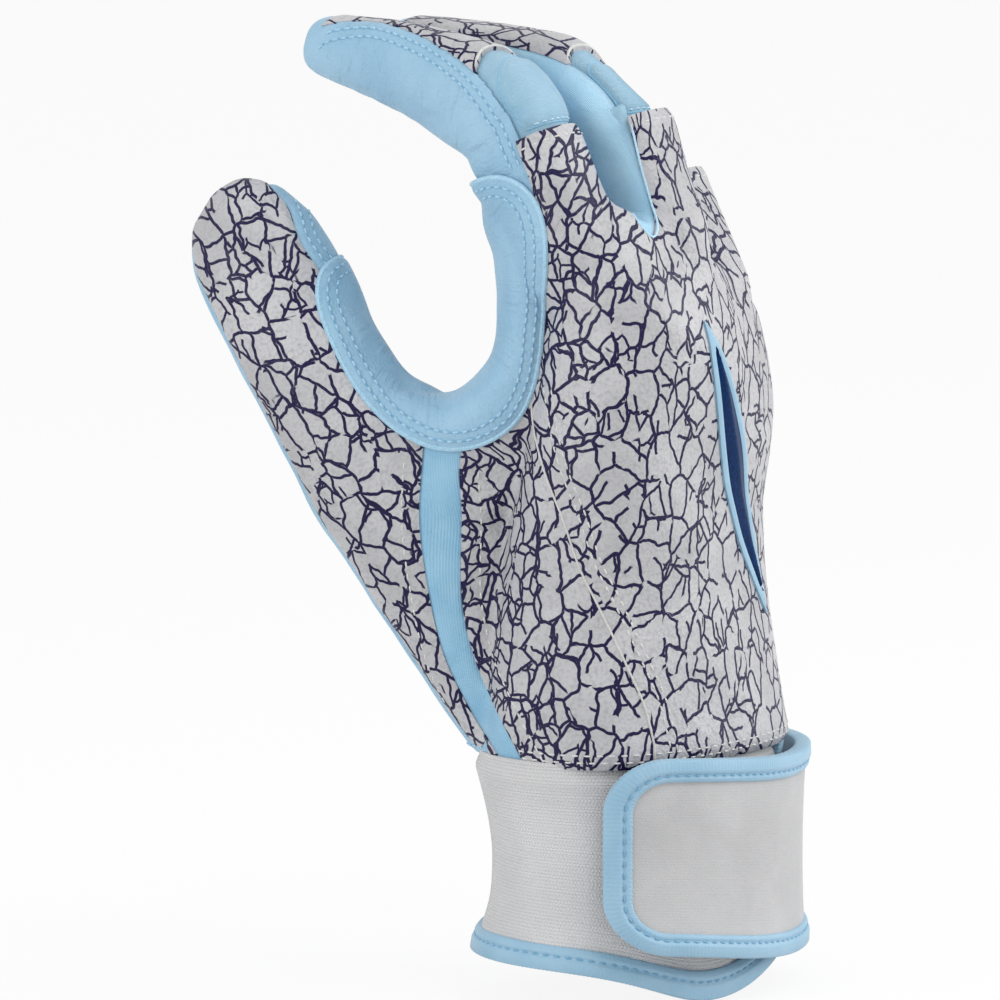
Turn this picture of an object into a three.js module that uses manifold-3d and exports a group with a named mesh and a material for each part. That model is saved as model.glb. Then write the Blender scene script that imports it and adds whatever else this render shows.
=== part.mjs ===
import * as THREE from "three";
import { mergeVertices } from "three/addons/utils/BufferGeometryUtils.js";
import Module from "manifold-3d";

const wasm = await Module();
wasm.setup();

// Millimetres. +Z runs from the wrist to the fingers, +X faces the back of the hand,
// +Y runs from the thumb side to the little finger side. Z = 0 is the cuff's lower edge.

// Cuff
const CUFF_HEIGHT = 47;
const CUFF_HALF_WIDTH = 36.5;
const CUFF_HALF_DEPTH = 26;
const CUFF_SHIFT = -1.5;
const CUFF_WALL = 2.2;
const CUFF_WAIST = 2.2;
const CUFF_CORNER = 7;
const SLIT_ANGLE = 46;
const SLIT_WIDTH = 5;
const HEM_WIDTH = 5;
const HEM_WALL = 1;
const HEM_RISE = 4;
const HEM_LOW_ANGLE = 25;

// Strap
const STRAP_BASE = 5.5;
const STRAP_HEIGHT = 40;
const STRAP_WALL = 1.6;
const STRAP_END_ANGLE = -66;
const STRAP_ROOT_ANGLE = 86;
const STRAP_CORNER = 8;
const STRAP_BINDING_WIDTH = 3.8;
const STRAP_BINDING_WALL = 0.8;
const PAD_WALL = 1.3;
const PAD_LENGTH = 34;
const PAD_HEIGHT = 26;
const ANCHOR_LENGTH = 9;

// Leather and cloth
const WALL = 1.5;
const SEAM_GAP = 0.35;
const LAYER_GAP = 0.3;
const TAPE_GAP = 0.45;
const PATCH_WALL = 1.2;
const INSERT_LENGTH = 74;
const INSERT_WIDTH = 11;
const INSERT_BORDER = 1.8;
const INSERT_WALL = 0.8;
const INSERT_CENTRE = [4, 106];
const INSERT_LEAN = 26;

// Fingers: each turns about its palm crease, at hinge (X, Z); lean and bend in degrees.
const FINGERS = {
  index: { y: -28, hinge: [-22, 172], lean: 28, bend: 46, wide: 10.2, thick: 22, reach: 47, droop: 3 },
  middle: { y: -6.5, hinge: [-13, 173], lean: 26, bend: 52, wide: 10, thick: 20.5, reach: 50, droop: 4 },
  ring: { y: 14, hinge: [-15, 158], lean: 28, bend: 48, wide: 9.4, thick: 19, reach: 47, droop: 4 },
  little: { y: 33, hinge: [-21, 138], lean: 24, bend: 62, wide: 8.4, thick: 18, reach: 38, droop: 3 },
};
const FINGER_SQUARE = 2.5;
const PIVOT_OFFSET = 1.2;
const ROOT_LENGTH = 44;
const ROOT_TAPER = 0.55;
const TIP_TAPER = 0.66;
const BACK_SEAM = 0.72;
const PALM_SEAM = 0.28;
const CROTCH_DEPTH = 2.5;
const CREASE_CLEARANCE = 5;
const TIP_CAP = 4;

// Hand, thumb and web: places along each form with half sizes; tilt and roll in degrees.
// A section is a superellipse, whose power is its squareness.
const HAND_SQUARE = 2.4;
const THUMB_SQUARE = 2.3;
const WEB_SQUARE = 2.2;
const HAND_STATIONS = [
  { at: [0, 0, 34], wide: 33, back: 23, palm: 23, roll: 0, tilt: 0 },
  { at: [-1, -1, 48], wide: 37.5, back: 27, palm: 26.5, roll: 0, tilt: 0 },
  { at: [0, -1, 75], wide: 37.5, back: 22.5, palm: 24, roll: 6, tilt: 4 },
  { at: [3, 0, 103], wide: 39.5, back: 19, palm: 22, roll: 10, tilt: 12 },
  { at: [5, 1, 127], wide: 41, back: 18.5, palm: 18, roll: 10, tilt: 22 },
  { at: [1, 2, 147], wide: 38, back: 14.5, palm: 11.5, roll: 4, tilt: 27 },
];
const THUMB_STATIONS = [
  { at: [-9, -17, 42], wide: 12, back: 9, palm: 12 },
  { at: [-18, -23, 63], wide: 15.5, back: 10, palm: 13 },
  { at: [-27.5, -30.5, 87.5], wide: 19, back: 11, palm: 13 },
  { at: [-42.5, -39.5, 114], wide: 17.5, back: 11, palm: 12 },
  { at: [-60.5, -44.5, 141.5], wide: 14.8, back: 11, palm: 11 },
  { at: [-67, -45.2, 151.5], wide: 14, back: 9.8, palm: 9.8 },
  { at: [-72, -45.4, 159.5], wide: 10.4, back: 7, palm: 7 },
  { at: [-74.2, -45.6, 164], wide: 4, back: 2.4, palm: 2.4 },
];
const THUMB_KNUCKLE = 4;
const THUMB_SIDE = new THREE.Vector3(0.685, 0.573, 0.436).normalize();
const THUMB_EDGE_DEPTH = 22;
const BACK_EDGE_DEPTH = 26;
const STRIP_DEPTH = 20;
const PATCH_DEPTH = 8;
const WEB_STATIONS = [
  { at: [-51, -41, 137], wide: 7, back: 5, palm: 7 },
  { at: [-45, -39, 131], wide: 8.5, back: 5, palm: 10 },
  { at: [-38, -36, 122], wide: 9.5, back: 5, palm: 15 },
  { at: [-26, -32, 115], wide: 10, back: 6.5, palm: 25 },
  { at: [-14, -29, 124], wide: 10, back: 6, palm: 15 },
  { at: [-10, -28, 142], wide: 9, back: 5.5, palm: 9 },
  { at: [-12, -28, 156], wide: 8.5, back: 7, palm: 8 },
  { at: [-11, -28, 166], wide: 7, back: 5, palm: 6 },
];
const WEB_SIDE = new THREE.Vector3(0.57, -0.8, 0.1);

// Seams on the thumb side are drawn on a plane turned and tipped towards that side.
const SKETCH_TURN = 35;
const SKETCH_TIP = 8;
const SKETCH_REACH = 120;
const BACK_EDGE = [
  [-29, 178], [-26, 170], [-22.5, 160], [-21, 147], [-22, 132], [-27, 118], [-37, 108], [-37.3, 93],
  [-37.3, 76], [-35, 65], [-31, 55], [-24.5, 42], [-20, 34],
];
const STRIP_EDGE = [
  [-45.4, 108.6], [-46.2, 93], [-44.5, 79], [-41.5, 65.5], [-36.8, 55], [-29, 42], [-24, 34],
];
const THUMB_EDGE = [
  [-82, 170], [-78.5, 164], [-73.5, 158], [-71, 151], [-66, 143], [-61, 128], [-54, 117], [-45.4, 108.6],
];
const PATCH_EDGE = [
  [-61, 149], [-66.5, 145], [-67.6, 139], [-64, 128.5], [-57.8, 118], [-50.4, 111], [-42, 107.5],
  [-33.6, 108.2], [-26.3, 112.8], [-22, 121], [-20.3, 133], [-19.5, 147], [-20.2, 156], [-23.1, 162],
  [-36, 163], [-42, 147],
];

// Facets: steps along a form and sides round it
const HAND_FACETS = { steps: 10, sides: 24 };
const THUMB_FACETS = { steps: 12, sides: 14 };
const WEB_FACETS = { steps: 8, sides: 10 };
const FINGER_SIDES = 12;
const CUFF_FACETS = { columns: 32, rows: 5 };

const ACROSS = new THREE.Vector3(0, 1, 0);
const PRINT = { color: 0xc9c9c6, roughness: 0.6, metalness: 0 };
const LEATHER = { color: 0xa3cbe4, roughness: 0.55, metalness: 0 };
const STRETCH = { color: 0x7db9dc, roughness: 0.85, metalness: 0 };
const KNIT = { color: 0xc3c3c4, roughness: 0.9, metalness: 0 };
const TAPE = { color: 0x96c8e6, roughness: 0.7, metalness: 0 };
const FASTENER = { color: 0x5b5e63, roughness: 0.95, metalness: 0 };
const INLAY = { color: 0x0b2f66, roughness: 0.4, metalness: 0 };

const rad = THREE.MathUtils.degToRad;

function solidOf(geometry) {
  const bare = geometry.index ? geometry.toNonIndexed() : geometry;
  bare.deleteAttribute("normal");
  bare.deleteAttribute("uv");
  const welded = mergeVertices(bare, 1e-4);
  return new wasm.Manifold(new wasm.Mesh({
    numProp: 3,
    vertProperties: new Float32Array(welded.attributes.position.array),
    triVerts: new Uint32Array(welded.index.array),
  }));
}

function geometryOf(solid) {
  const mesh = solid.getMesh();
  const geometry = new THREE.BufferGeometry();
  geometry.setAttribute("position", new THREE.BufferAttribute(new Float32Array(mesh.vertProperties), 3));
  geometry.setIndex(new THREE.BufferAttribute(new Uint32Array(mesh.triVerts), 1));
  return geometry;
}

function union(solids) {
  return solids.reduce((sum, next) => sum.add(next));
}

function largest(solid) {
  const bodies = solid.decompose();
  return bodies.reduce((best, body) => (body.volume() > best.volume() ? body : best));
}

// Closed body through rings of equal point count; its ends follow the outline given, or a fan.
function loft(rings, outline) {
  const count = rings[0].length;
  const points = rings.flat();
  const faces = [];
  const last = (rings.length - 1) * count;
  for (let j = 0; j < count; j++) {
    const k = (j + 1) % count;
    for (let i = 0; i + 1 < rings.length; i++) {
      const a = i * count + j;
      const b = i * count + k;
      faces.push(a, b + count, b, a, a + count, b + count);
    }
  }
  if (outline) {
    for (const [a, b, c] of THREE.ShapeUtils.triangulateShape(outline, [])) {
      faces.push(a, b, c, last + a, last + c, last + b);
    }
  } else {
    const middle = (ring) => ring.reduce((sum, p) => sum.add(p), new THREE.Vector3()).divideScalar(count);
    const centre = points.length;
    points.push(middle(rings[0]), middle(rings.at(-1)));
    for (let j = 0; j < count; j++) {
      const k = (j + 1) % count;
      faces.push(centre, j, k, centre + 1, last + k, last + j);
    }
  }
  const geometry = new THREE.BufferGeometry().setFromPoints(points);
  geometry.setIndex(faces);
  return solidOf(geometry);
}

function ovalRing(centre, side, back, half, sides) {
  const ring = [];
  for (let i = 0; i < sides; i++) {
    const turn = (2 * Math.PI * i) / sides;
    const c = Math.cos(turn);
    const s = Math.sin(turn);
    const power = 2 / half.square;
    const across = half.wide * Math.sign(c) * Math.abs(c) ** power;
    const out = (s > 0 ? half.back : half.palm) * Math.sign(s) * Math.abs(s) ** power;
    ring.push(centre.clone().addScaledVector(side, across).addScaledVector(back, out));
  }
  return ring;
}

function leaned(station) {
  const roll = rad(station.roll);
  const tilt = rad(station.tilt);
  return new THREE.Vector3(-Math.sin(roll), Math.cos(roll) * Math.cos(tilt), -Math.sin(tilt)).normalize();
}

function centreLine(stations) {
  const places = stations.map((station) => new THREE.Vector3(...station.at));
  return new THREE.CatmullRomCurve3(places, false, "centripetal");
}

// Oval tube along a smooth line through the stations; grow moves its wall outward.
function tube(stations, sideways, square, { steps, sides }, grow) {
  const line = centreLine(stations);
  const rings = [];
  for (let i = 0; i <= steps; i++) {
    const t = i / steps;
    const knot = Math.min(stations.length - 2, Math.floor(t * (stations.length - 1)));
    const mix = t * (stations.length - 1) - knot;
    const [from, to] = [stations[knot], stations[knot + 1]];
    const size = (key) => Math.max(0.5, THREE.MathUtils.lerp(from[key], to[key], mix) + grow);
    const along = line.getTangent(t);
    const side = sideways ? sideways.clone() : leaned(from).lerp(leaned(to), mix);
    if (sideways) {
      side.addScaledVector(along, -side.dot(along));
    }
    side.normalize();
    const back = side.clone().cross(along).normalize();
    const half = { wide: size("wide"), back: size("back"), palm: size("palm"), square };
    const centre = line.getPoint(t).addScaledVector(along, i === steps ? grow : 0);
    rings.push(ovalRing(centre, side, back, half, sides));
  }
  return loft(rings);
}

// Body pushed from a flat outline along the frame's third axis.
function pushed(outline, frame, from, to) {
  const shape = new THREE.Shape(outline);
  const geometry = new THREE.ExtrudeGeometry(shape, { depth: to - from, bevelEnabled: false });
  geometry.translate(0, 0, from);
  geometry.applyMatrix4(frame);
  return solidOf(geometry);
}

function block(frame, low, high) {
  const size = high.map((value, axis) => value - low[axis]);
  const geometry = new THREE.BoxGeometry(...size);
  geometry.translate(low[0] + size[0] / 2, low[1] + size[1] / 2, low[2] + size[2] / 2);
  geometry.applyMatrix4(frame);
  return solidOf(geometry);
}

// Outline of a thin ribbon along an open line.
function ribbon(points, width) {
  const edge = (sign) => points.map((p, i) => {
    const before = points[Math.max(0, i - 1)];
    const after = points[Math.min(points.length - 1, i + 1)];
    const run = after.clone().sub(before).normalize();
    return new THREE.Vector2(p.x - (sign * run.y * width) / 2, p.y + (sign * run.x * width) / 2);
  });
  return [...edge(-1), ...edge(1).reverse()];
}

function smooth(points) {
  return new THREE.SplineCurve(points.map((p) => new THREE.Vector2(...p))).getPoints(points.length * 2);
}

// Fingers
function fingerFrame(finger, angle) {
  const out = new THREE.Vector3(Math.cos(rad(angle)), 0, Math.sin(rad(angle)));
  const along = new THREE.Vector3(-out.z, 0, out.x);
  const frame = new THREE.Matrix4().makeBasis(out, ACROSS, along);
  return frame.setPosition(finger.hinge[0], finger.y, finger.hinge[1]);
}

function fingerRing(finger, angle, run, sink, scale, grow) {
  const half = finger.thick / 2;
  const frame = fingerFrame(finger, angle);
  const centre = new THREE.Vector3(PIVOT_OFFSET + half - sink, 0, run).applyMatrix4(frame);
  const out = new THREE.Vector3().setFromMatrixColumn(frame, 0);
  const deep = Math.max(0.5, half * scale + grow);
  const wide = Math.max(0.5, finger.wide * scale + grow);
  return ovalRing(centre, ACROSS, out, { wide, back: deep, palm: deep, square: FINGER_SQUARE }, FINGER_SIDES);
}

function fingerRoot(finger, grow, end) {
  return loft([
    fingerRing(finger, finger.lean, -ROOT_LENGTH, 0, ROOT_TAPER, grow),
    fingerRing(finger, finger.lean, -ROOT_LENGTH * 0.6, 0, 1, grow),
    fingerRing(finger, finger.lean, end, 0, 1, grow),
  ]);
}

function fingerKnee(finger, grow, margin) {
  const steps = 5;
  const rings = [];
  for (let i = 0; i <= steps; i++) {
    const angle = finger.lean - margin + ((finger.bend + 2 * margin) * i) / steps;
    rings.push(fingerRing(finger, angle, 0, 0, 1, grow));
  }
  return loft(rings);
}

function fingerTip(finger, grow, start) {
  const round = finger.thick * TIP_TAPER * 0.5;
  const straight = finger.reach - round;
  const angle = finger.lean + finger.bend;
  const sink = (run) => finger.droop * (Math.max(0, run) / finger.reach) ** 2;
  const scale = (run) => 1 + (TIP_TAPER - 1) * Math.max(0, run / straight);
  const rings = [start, straight * 0.35, straight * 0.7, straight]
    .map((run) => fingerRing(finger, angle, run, sink(run), scale(run), grow));
  for (const turn of [30, 55, 75, 87]) {
    const run = straight + (round + grow) * Math.sin(rad(turn));
    const shrink = Math.cos(rad(turn));
    rings.push(fingerRing(finger, angle, run, sink(run), TIP_TAPER * shrink, grow * shrink));
  }
  return loft(rings);
}

// Hand with thumb, web and finger roots as one form.
function thumbForm(grow) {
  return tube(THUMB_STATIONS, THUMB_SIDE, THUMB_SQUARE, THUMB_FACETS, grow);
}

function handForm(grow, rootEnd) {
  return union([
    tube(HAND_STATIONS, null, HAND_SQUARE, HAND_FACETS, grow),
    thumbForm(grow),
    tube(WEB_STATIONS, WEB_SIDE, WEB_SQUARE, WEB_FACETS, grow),
    ...Object.values(FINGERS).map((finger) => fingerRoot(finger, grow, rootEnd)),
  ]);
}

function thumbKnuckleFrame() {
  const line = centreLine(THUMB_STATIONS);
  const t = THUMB_KNUCKLE / (THUMB_STATIONS.length - 1);
  const along = line.getTangent(t);
  const side = THUMB_SIDE.clone().addScaledVector(along, -THUMB_SIDE.dot(along)).normalize();
  const back = side.clone().cross(along);
  return new THREE.Matrix4().makeBasis(back, side, along).setPosition(line.getPoint(t));
}

// Frame of the seam sketches: right, up and towards the viewer of the thumb side.
function sketchFrame() {
  const turn = rad(SKETCH_TURN);
  const tip = rad(SKETCH_TIP);
  const right = new THREE.Vector3(Math.cos(turn), Math.sin(turn), 0);
  const level = Math.cos(tip);
  const near = new THREE.Vector3(Math.sin(turn) * level, -Math.cos(turn) * level, Math.sin(tip));
  return new THREE.Matrix4().makeBasis(right, near.clone().cross(right), near);
}

const part = new THREE.Group();
part.name = "batting_glove";

function add(name, solid, look) {
  const mesh = new THREE.Mesh(geometryOf(largest(solid)), new THREE.MeshStandardMaterial(look));
  mesh.name = name;
  part.add(mesh);
}

// Cuff surface: s runs round the wrist from the slit, z up, off outwards.
const wristLine = new THREE.EllipseCurve(
  CUFF_SHIFT, CUFF_SHIFT, CUFF_HALF_DEPTH, CUFF_HALF_WIDTH, rad(SLIT_ANGLE), rad(SLIT_ANGLE + 360));
const WRIST_LENGTH = wristLine.getLength();

function onWrist(s, z, off) {
  const u = THREE.MathUtils.euclideanModulo(s / WRIST_LENGTH, 1);
  const point = wristLine.getPointAt(u);
  const run = wristLine.getTangentAt(u);
  const out = off - CUFF_WAIST * Math.sin((Math.PI * THREE.MathUtils.clamp(z, 0, CUFF_HEIGHT)) / CUFF_HEIGHT);
  const turn = Math.atan2(point.y - CUFF_SHIFT, point.x - CUFF_SHIFT) - rad(HEM_LOW_ANGLE);
  const lift = HEM_RISE * (0.5 - 0.5 * Math.cos(turn)) * Math.max(0, 1 - z / CUFF_HEIGHT);
  return new THREE.Vector3(point.x + run.y * out, point.y - run.x * out, z + lift);
}

// Length round the wrist from the slit to an angle seen from its centre.
function wristLength(angle) {
  const lengths = wristLine.getLengths(360);
  const at = (k) => THREE.MathUtils.radToDeg(
    Math.atan2(wristLine.getPoint(k / 360).y, wristLine.getPoint(k / 360).x));
  const gap = (k) => Math.abs(THREE.MathUtils.euclideanModulo(at(k) - angle + 180, 360) - 180);
  const steps = [...lengths.keys()].slice(0, 360);
  return lengths[steps.reduce((best, k) => (gap(k) < gap(best) ? k : best))];
}

// Curved sheet over a unit square; place(u, v) gives a pair (s, z).
function sheet(place, columns, rows, low, high) {
  const points = [];
  const at = (side, i, j) => (side * (columns + 1) + i) * (rows + 1) + j;
  for (const off of [low, high]) {
    for (let i = 0; i <= columns; i++) {
      for (let j = 0; j <= rows; j++) {
        points.push(onWrist(...place(i / columns, j / rows), off));
      }
    }
  }
  const faces = [];
  const quad = (a, b, c, d) => faces.push(a, b, c, a, c, d);
  for (let i = 0; i < columns; i++) {
    for (let j = 0; j < rows; j++) {
      quad(at(1, i, j), at(1, i + 1, j), at(1, i + 1, j + 1), at(1, i, j + 1));
      quad(at(0, i, j), at(0, i, j + 1), at(0, i + 1, j + 1), at(0, i + 1, j));
    }
    quad(at(0, i, 0), at(0, i + 1, 0), at(1, i + 1, 0), at(1, i, 0));
    quad(at(1, i, rows), at(1, i + 1, rows), at(0, i + 1, rows), at(0, i, rows));
  }
  for (let j = 0; j < rows; j++) {
    quad(at(0, 0, j), at(1, 0, j), at(1, 0, j + 1), at(0, 0, j + 1));
    quad(at(1, columns, j), at(0, columns, j), at(0, columns, j + 1), at(1, columns, j + 1));
  }
  const geometry = new THREE.BufferGeometry().setFromPoints(points);
  geometry.setIndex(faces);
  return solidOf(geometry);
}

// Folded tape along an edge line on the cuff surface, gripping layers from low to high.
function tape(edge, width, wall, low, high) {
  const gap = TAPE_GAP;
  const outline = [
    [-gap, low - gap], [-gap, high + gap], [width, high + gap], [width, high + gap + wall],
    [-gap - wall, high + gap + wall], [-gap - wall, low - gap - wall],
    [width, low - gap - wall], [width, low - gap],
  ].map((p) => new THREE.Vector2(...p));
  const rings = edge.map(({ s, z, inward }) => outline.map(
    (p) => onWrist(s + inward.x * p.x, z + inward.y * p.x, p.y)));
  return loft(rings, outline);
}

// Edge line round one end of a strip: along the foot, round two corners, back along the head.
function endEdge(from, end, foot, head, corner, step) {
  const sign = Math.sign(end - from);
  const edge = [];
  const count = Math.ceil(Math.abs(end - from) / step);
  const place = (s, z, angle) => edge.push({
    s, z, inward: new THREE.Vector2(-sign * Math.cos(angle), -Math.sin(angle)),
  });
  for (let i = 0; i < count; i++) {
    place(from + ((end - sign * corner - from) * i) / count, foot, -Math.PI / 2);
  }
  const arc = (centre, start) => {
    for (let turn = start; turn <= start + 90; turn += 22.5) {
      const angle = rad(turn);
      place(end - sign * corner * (1 - Math.cos(angle)), centre + corner * Math.sin(angle), angle);
    }
  };
  arc(foot + corner, -90);
  for (let z = foot + corner + step; z < head - corner - step / 2; z += step) {
    place(end, z, 0);
  }
  arc(head - corner, 0);
  for (let i = count - 1; i >= 0; i--) {
    place(from + ((end - sign * corner - from) * i) / count, head, Math.PI / 2);
  }
  return edge;
}

// End of a strip with rounded corners, at height z.
function roundedEnd(end, sign, z, foot, head, corner) {
  const near = Math.max(0, corner - Math.min(z - foot, head - z));
  return end - sign * (corner - Math.sqrt(Math.max(0, corner * corner - near * near)));
}

// Skin of the hand and the solids that part it into panels
const sketch = sketchFrame();
const sideways = new THREE.Matrix4().makeBasis(
  new THREE.Vector3(1, 0, 0), new THREE.Vector3(0, 0, 1), new THREE.Vector3(0, -1, 0));
const fromBack = new THREE.Matrix4().makeBasis(
  ACROSS, new THREE.Vector3(0, 0, 1), new THREE.Vector3(1, 0, 0));
const world = new THREE.Matrix4();
const point = (x, y) => new THREE.Vector2(x, y);
const near = (outline, depth) => pushed(outline, sketch, depth, SKETCH_REACH);
const HALF_GAP = SEAM_GAP / 2;
const FAR = 150;

const backEdge = smooth(BACK_EDGE);
const stripEdge = smooth(STRIP_EDGE);
const thumbEdge = smooth(THUMB_EDGE);
const kerf = (line, depth) => near(ribbon(line, SEAM_GAP), depth - HALF_GAP);
const thumbKerf = kerf(thumbEdge, THUMB_EDGE_DEPTH);
const kerfs = union([kerf(backEdge, BACK_EDGE_DEPTH), kerf(stripEdge, STRIP_DEPTH), thumbKerf]);

const thumbTop = block(thumbKnuckleFrame(), [-30, -30, -HALF_GAP], [30, 30, 60]);
const thumbAbove = block(thumbKnuckleFrame(), [-30, -30, HALF_GAP], [30, 30, 60]);
const handSkin = handForm(0, -HALF_GAP).subtract(handForm(-WALL, WALL))
  .trimByPlane([0, 0, 1], CUFF_HEIGHT + SEAM_GAP)
  .subtract(thumbTop);
const openSkin = handSkin.subtract(kerfs);

const names = Object.keys(FINGERS);
const fingers = Object.values(FINGERS);
const laneEdge = (i) => (fingers[i].y + fingers[i].wide + fingers[i + 1].y - fingers[i + 1].wide) / 2;

// Back half of one finger's lane, from the wrist to the finger's knuckle.
function laneBack(i, shift) {
  const finger = fingers[i];
  const frame = fingerFrame(finger, finger.lean);
  const mid = (run) => new THREE.Vector3(PIVOT_OFFSET + finger.thick / 2 + shift, 0, run).applyMatrix4(frame);
  const [top, low] = [mid(finger.thick), mid(-ROOT_LENGTH)];
  const outline = [
    point(shift, 0), point(FAR, 0), point(FAR, top.z), point(top.x, top.z), point(low.x, low.z),
    point(shift, low.z / 2),
  ];
  const from = i === 0 ? fingers[0].y : laneEdge(i - 1);
  const to = i === fingers.length - 1 ? FAR : laneEdge(i);
  return pushed(outline, sideways, -to, -from);
}

function backRegion(gap) {
  const edge = [...backEdge, point(FAR, backEdge.at(-1).y), point(FAR, backEdge[0].y)].reverse();
  const radial = near(edge, BACK_EDGE_DEPTH + gap).trimByPlane([0, -1, 0], -fingers[0].y);
  return union([radial, ...fingers.map((finger, i) => laneBack(i, gap))]);
}

function stripRegion(gap) {
  const right = backEdge.filter((p) => p.y < stripEdge[0].y).reverse();
  return near([...stripEdge, ...right].reverse(), STRIP_DEPTH + gap);
}

function thumbRegion(gap) {
  const outer = [point(-FAR, stripEdge.at(-1).y), point(-FAR, thumbEdge[0].y)];
  const edge = [...thumbEdge, ...stripEdge.slice(1), ...outer];
  return near(edge, THUMB_EDGE_DEPTH + gap);
}

// Side walls between two fingers, from either finger's middle to the lane edge.
function wallRegion(i, gap) {
  const wall = (finger, low, high) => block(
    fingerFrame(finger, finger.lean),
    [PIVOT_OFFSET + finger.thick * PALM_SEAM + gap, low, -ROOT_LENGTH],
    [PIVOT_OFFSET + finger.thick * BACK_SEAM - gap, high, finger.thick]);
  const [first, second] = [fingers[i], fingers[i + 1]];
  const edge = laneEdge(i);
  const knuckles = HAND_STATIONS.at(-1);
  const row = leaned(knuckles);
  const top = knuckles.at[2] + ((edge - knuckles.at[1]) * row.z) / row.y;
  const half = edge - first.y - first.wide + 2 * WALL - gap;
  const crotch = block(world, [-FAR, edge - half, top - CROTCH_DEPTH + gap], [FAR, edge + half, top + WALL]);
  return union([wall(first, 0, edge - first.y), wall(second, edge - second.y, 0), crotch]);
}

const gaps = [0, 1, 2];
const wallCuts = union(gaps.map((i) => wallRegion(i, -HALF_GAP)));
const backPart = openSkin.subtract(wallCuts).intersect(backRegion(HALF_GAP));
add("back_panel", backPart, PRINT);
add("stretch_strip", openSkin.intersect(stripRegion(HALF_GAP)), STRETCH);
add("thumb_back", openSkin.intersect(thumbRegion(HALF_GAP)), PRINT);
add("palm_panel", openSkin.subtract(wallCuts).subtract(backRegion(-HALF_GAP)).subtract(stripRegion(-HALF_GAP))
  .subtract(thumbRegion(-HALF_GAP)), LEATHER);
gaps.forEach((i) => add(
  `fourchette_${names[i]}_${names[i + 1]}`, handSkin.intersect(wallRegion(i, HALF_GAP)), STRETCH));

// Overlays on the skin
const overlay = (low, wall) => handForm(low + wall, -SEAM_GAP).subtract(handForm(low, 0)).subtract(thumbTop);
const patchOutline = smooth([...PATCH_EDGE, PATCH_EDGE[0]]);
add("web_patch", overlay(LAYER_GAP, PATCH_WALL).intersect(near(patchOutline, PATCH_DEPTH)), LEATHER);

function leaf(length, width) {
  const shape = new THREE.Shape();
  shape.moveTo(0, -length / 2);
  shape.quadraticCurveTo(width, 0, 0, length / 2);
  shape.quadraticCurveTo(-width, 0, 0, -length / 2);
  const turned = shape.getPoints(8).slice(0, -1);
  const centre = point(...INSERT_CENTRE);
  return turned.map((p) => p.rotateAround(point(0, 0), rad(INSERT_LEAN)).add(centre));
}
const leafBody = (shrink) => pushed(
  leaf(INSERT_LENGTH - 6 * shrink, INSERT_WIDTH - 2 * shrink), fromBack, 0, FAR);
const insertSkin = overlay(LAYER_GAP, INSERT_WALL);
add("insert_border", insertSkin.intersect(leafBody(0)).subtract(leafBody(INSERT_BORDER)), TAPE);
add("insert", insertSkin.intersect(leafBody(INSERT_BORDER + HALF_GAP)), INLAY);

// Thumb end
const thumbSkin = thumbForm(0).subtract(thumbForm(-WALL)).intersect(thumbAbove);
add("thumb_tip_back", thumbSkin.subtract(thumbKerf).intersect(thumbRegion(HALF_GAP)), PRINT);
add("thumb_tip_palm", thumbSkin.subtract(thumbKerf).subtract(thumbRegion(-HALF_GAP)), LEATHER);

// Finger ends: printed back, leather palm that closes the tip, stretch side walls, knuckle panel
fingers.forEach((finger, i) => {
  const name = names[i];
  const frame = fingerFrame(finger, finger.lean + finger.bend);
  const end = finger.reach - TIP_CAP;
  const backLevel = PIVOT_OFFSET + finger.thick * BACK_SEAM;
  const palmLevel = PIVOT_OFFSET + finger.thick * PALM_SEAM;
  const reach = 2 * finger.wide;
  const skin = fingerTip(finger, 0, SEAM_GAP).subtract(fingerTip(finger, -WALL, -WALL));
  const backCut = (gap) => block(frame, [backLevel + gap, -reach, -reach], [FAR, reach, end - gap]);
  const sideCut = (sign, gap) => block(
    frame,
    [palmLevel + gap, Math.min(0, sign * reach), -reach],
    [backLevel - gap, Math.max(0, sign * reach), end - TIP_CAP - gap]);
  const signs = [-1, 1].filter((sign) => fingers[i + sign]);
  add(`${name}_back`, skin.intersect(backCut(HALF_GAP)), PRINT);
  const cuts = [backCut(-HALF_GAP), ...signs.map((sign) => sideCut(sign, -HALF_GAP))];
  add(`${name}_palm`, skin.subtract(union(cuts)), LEATHER);
  signs.forEach((sign) => add(
    `${name}_wall_${names[i + sign]}`, skin.intersect(sideCut(sign, HALF_GAP)), STRETCH));
  const crease = new THREE.CylinderGeometry(CREASE_CLEARANCE, CREASE_CLEARANCE, 2 * reach, 16);
  crease.translate(finger.hinge[0], finger.y, finger.hinge[1]);
  const knee = fingerKnee(finger, 0, 0).subtract(fingerKnee(finger, -WALL, 3)).subtract(solidOf(crease));
  add(`${name}_knuckle`, knee, STRETCH);
});

// Cuff
const slitSide = SLIT_WIDTH / 2;
const cuffFoot = TAPE_GAP + HEM_WALL;
add("cuff_band", sheet((u, v) => {
  const z = cuffFoot + (CUFF_HEIGHT - cuffFoot) * v;
  const inset = slitSide - roundedEnd(0, 1, Math.min(z, CUFF_HEIGHT / 2), cuffFoot, CUFF_HEIGHT, CUFF_CORNER);
  return [inset + (WRIST_LENGTH - 2 * inset) * u, z];
}, CUFF_FACETS.columns, CUFF_FACETS.rows, 0, CUFF_WALL), KNIT);

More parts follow.
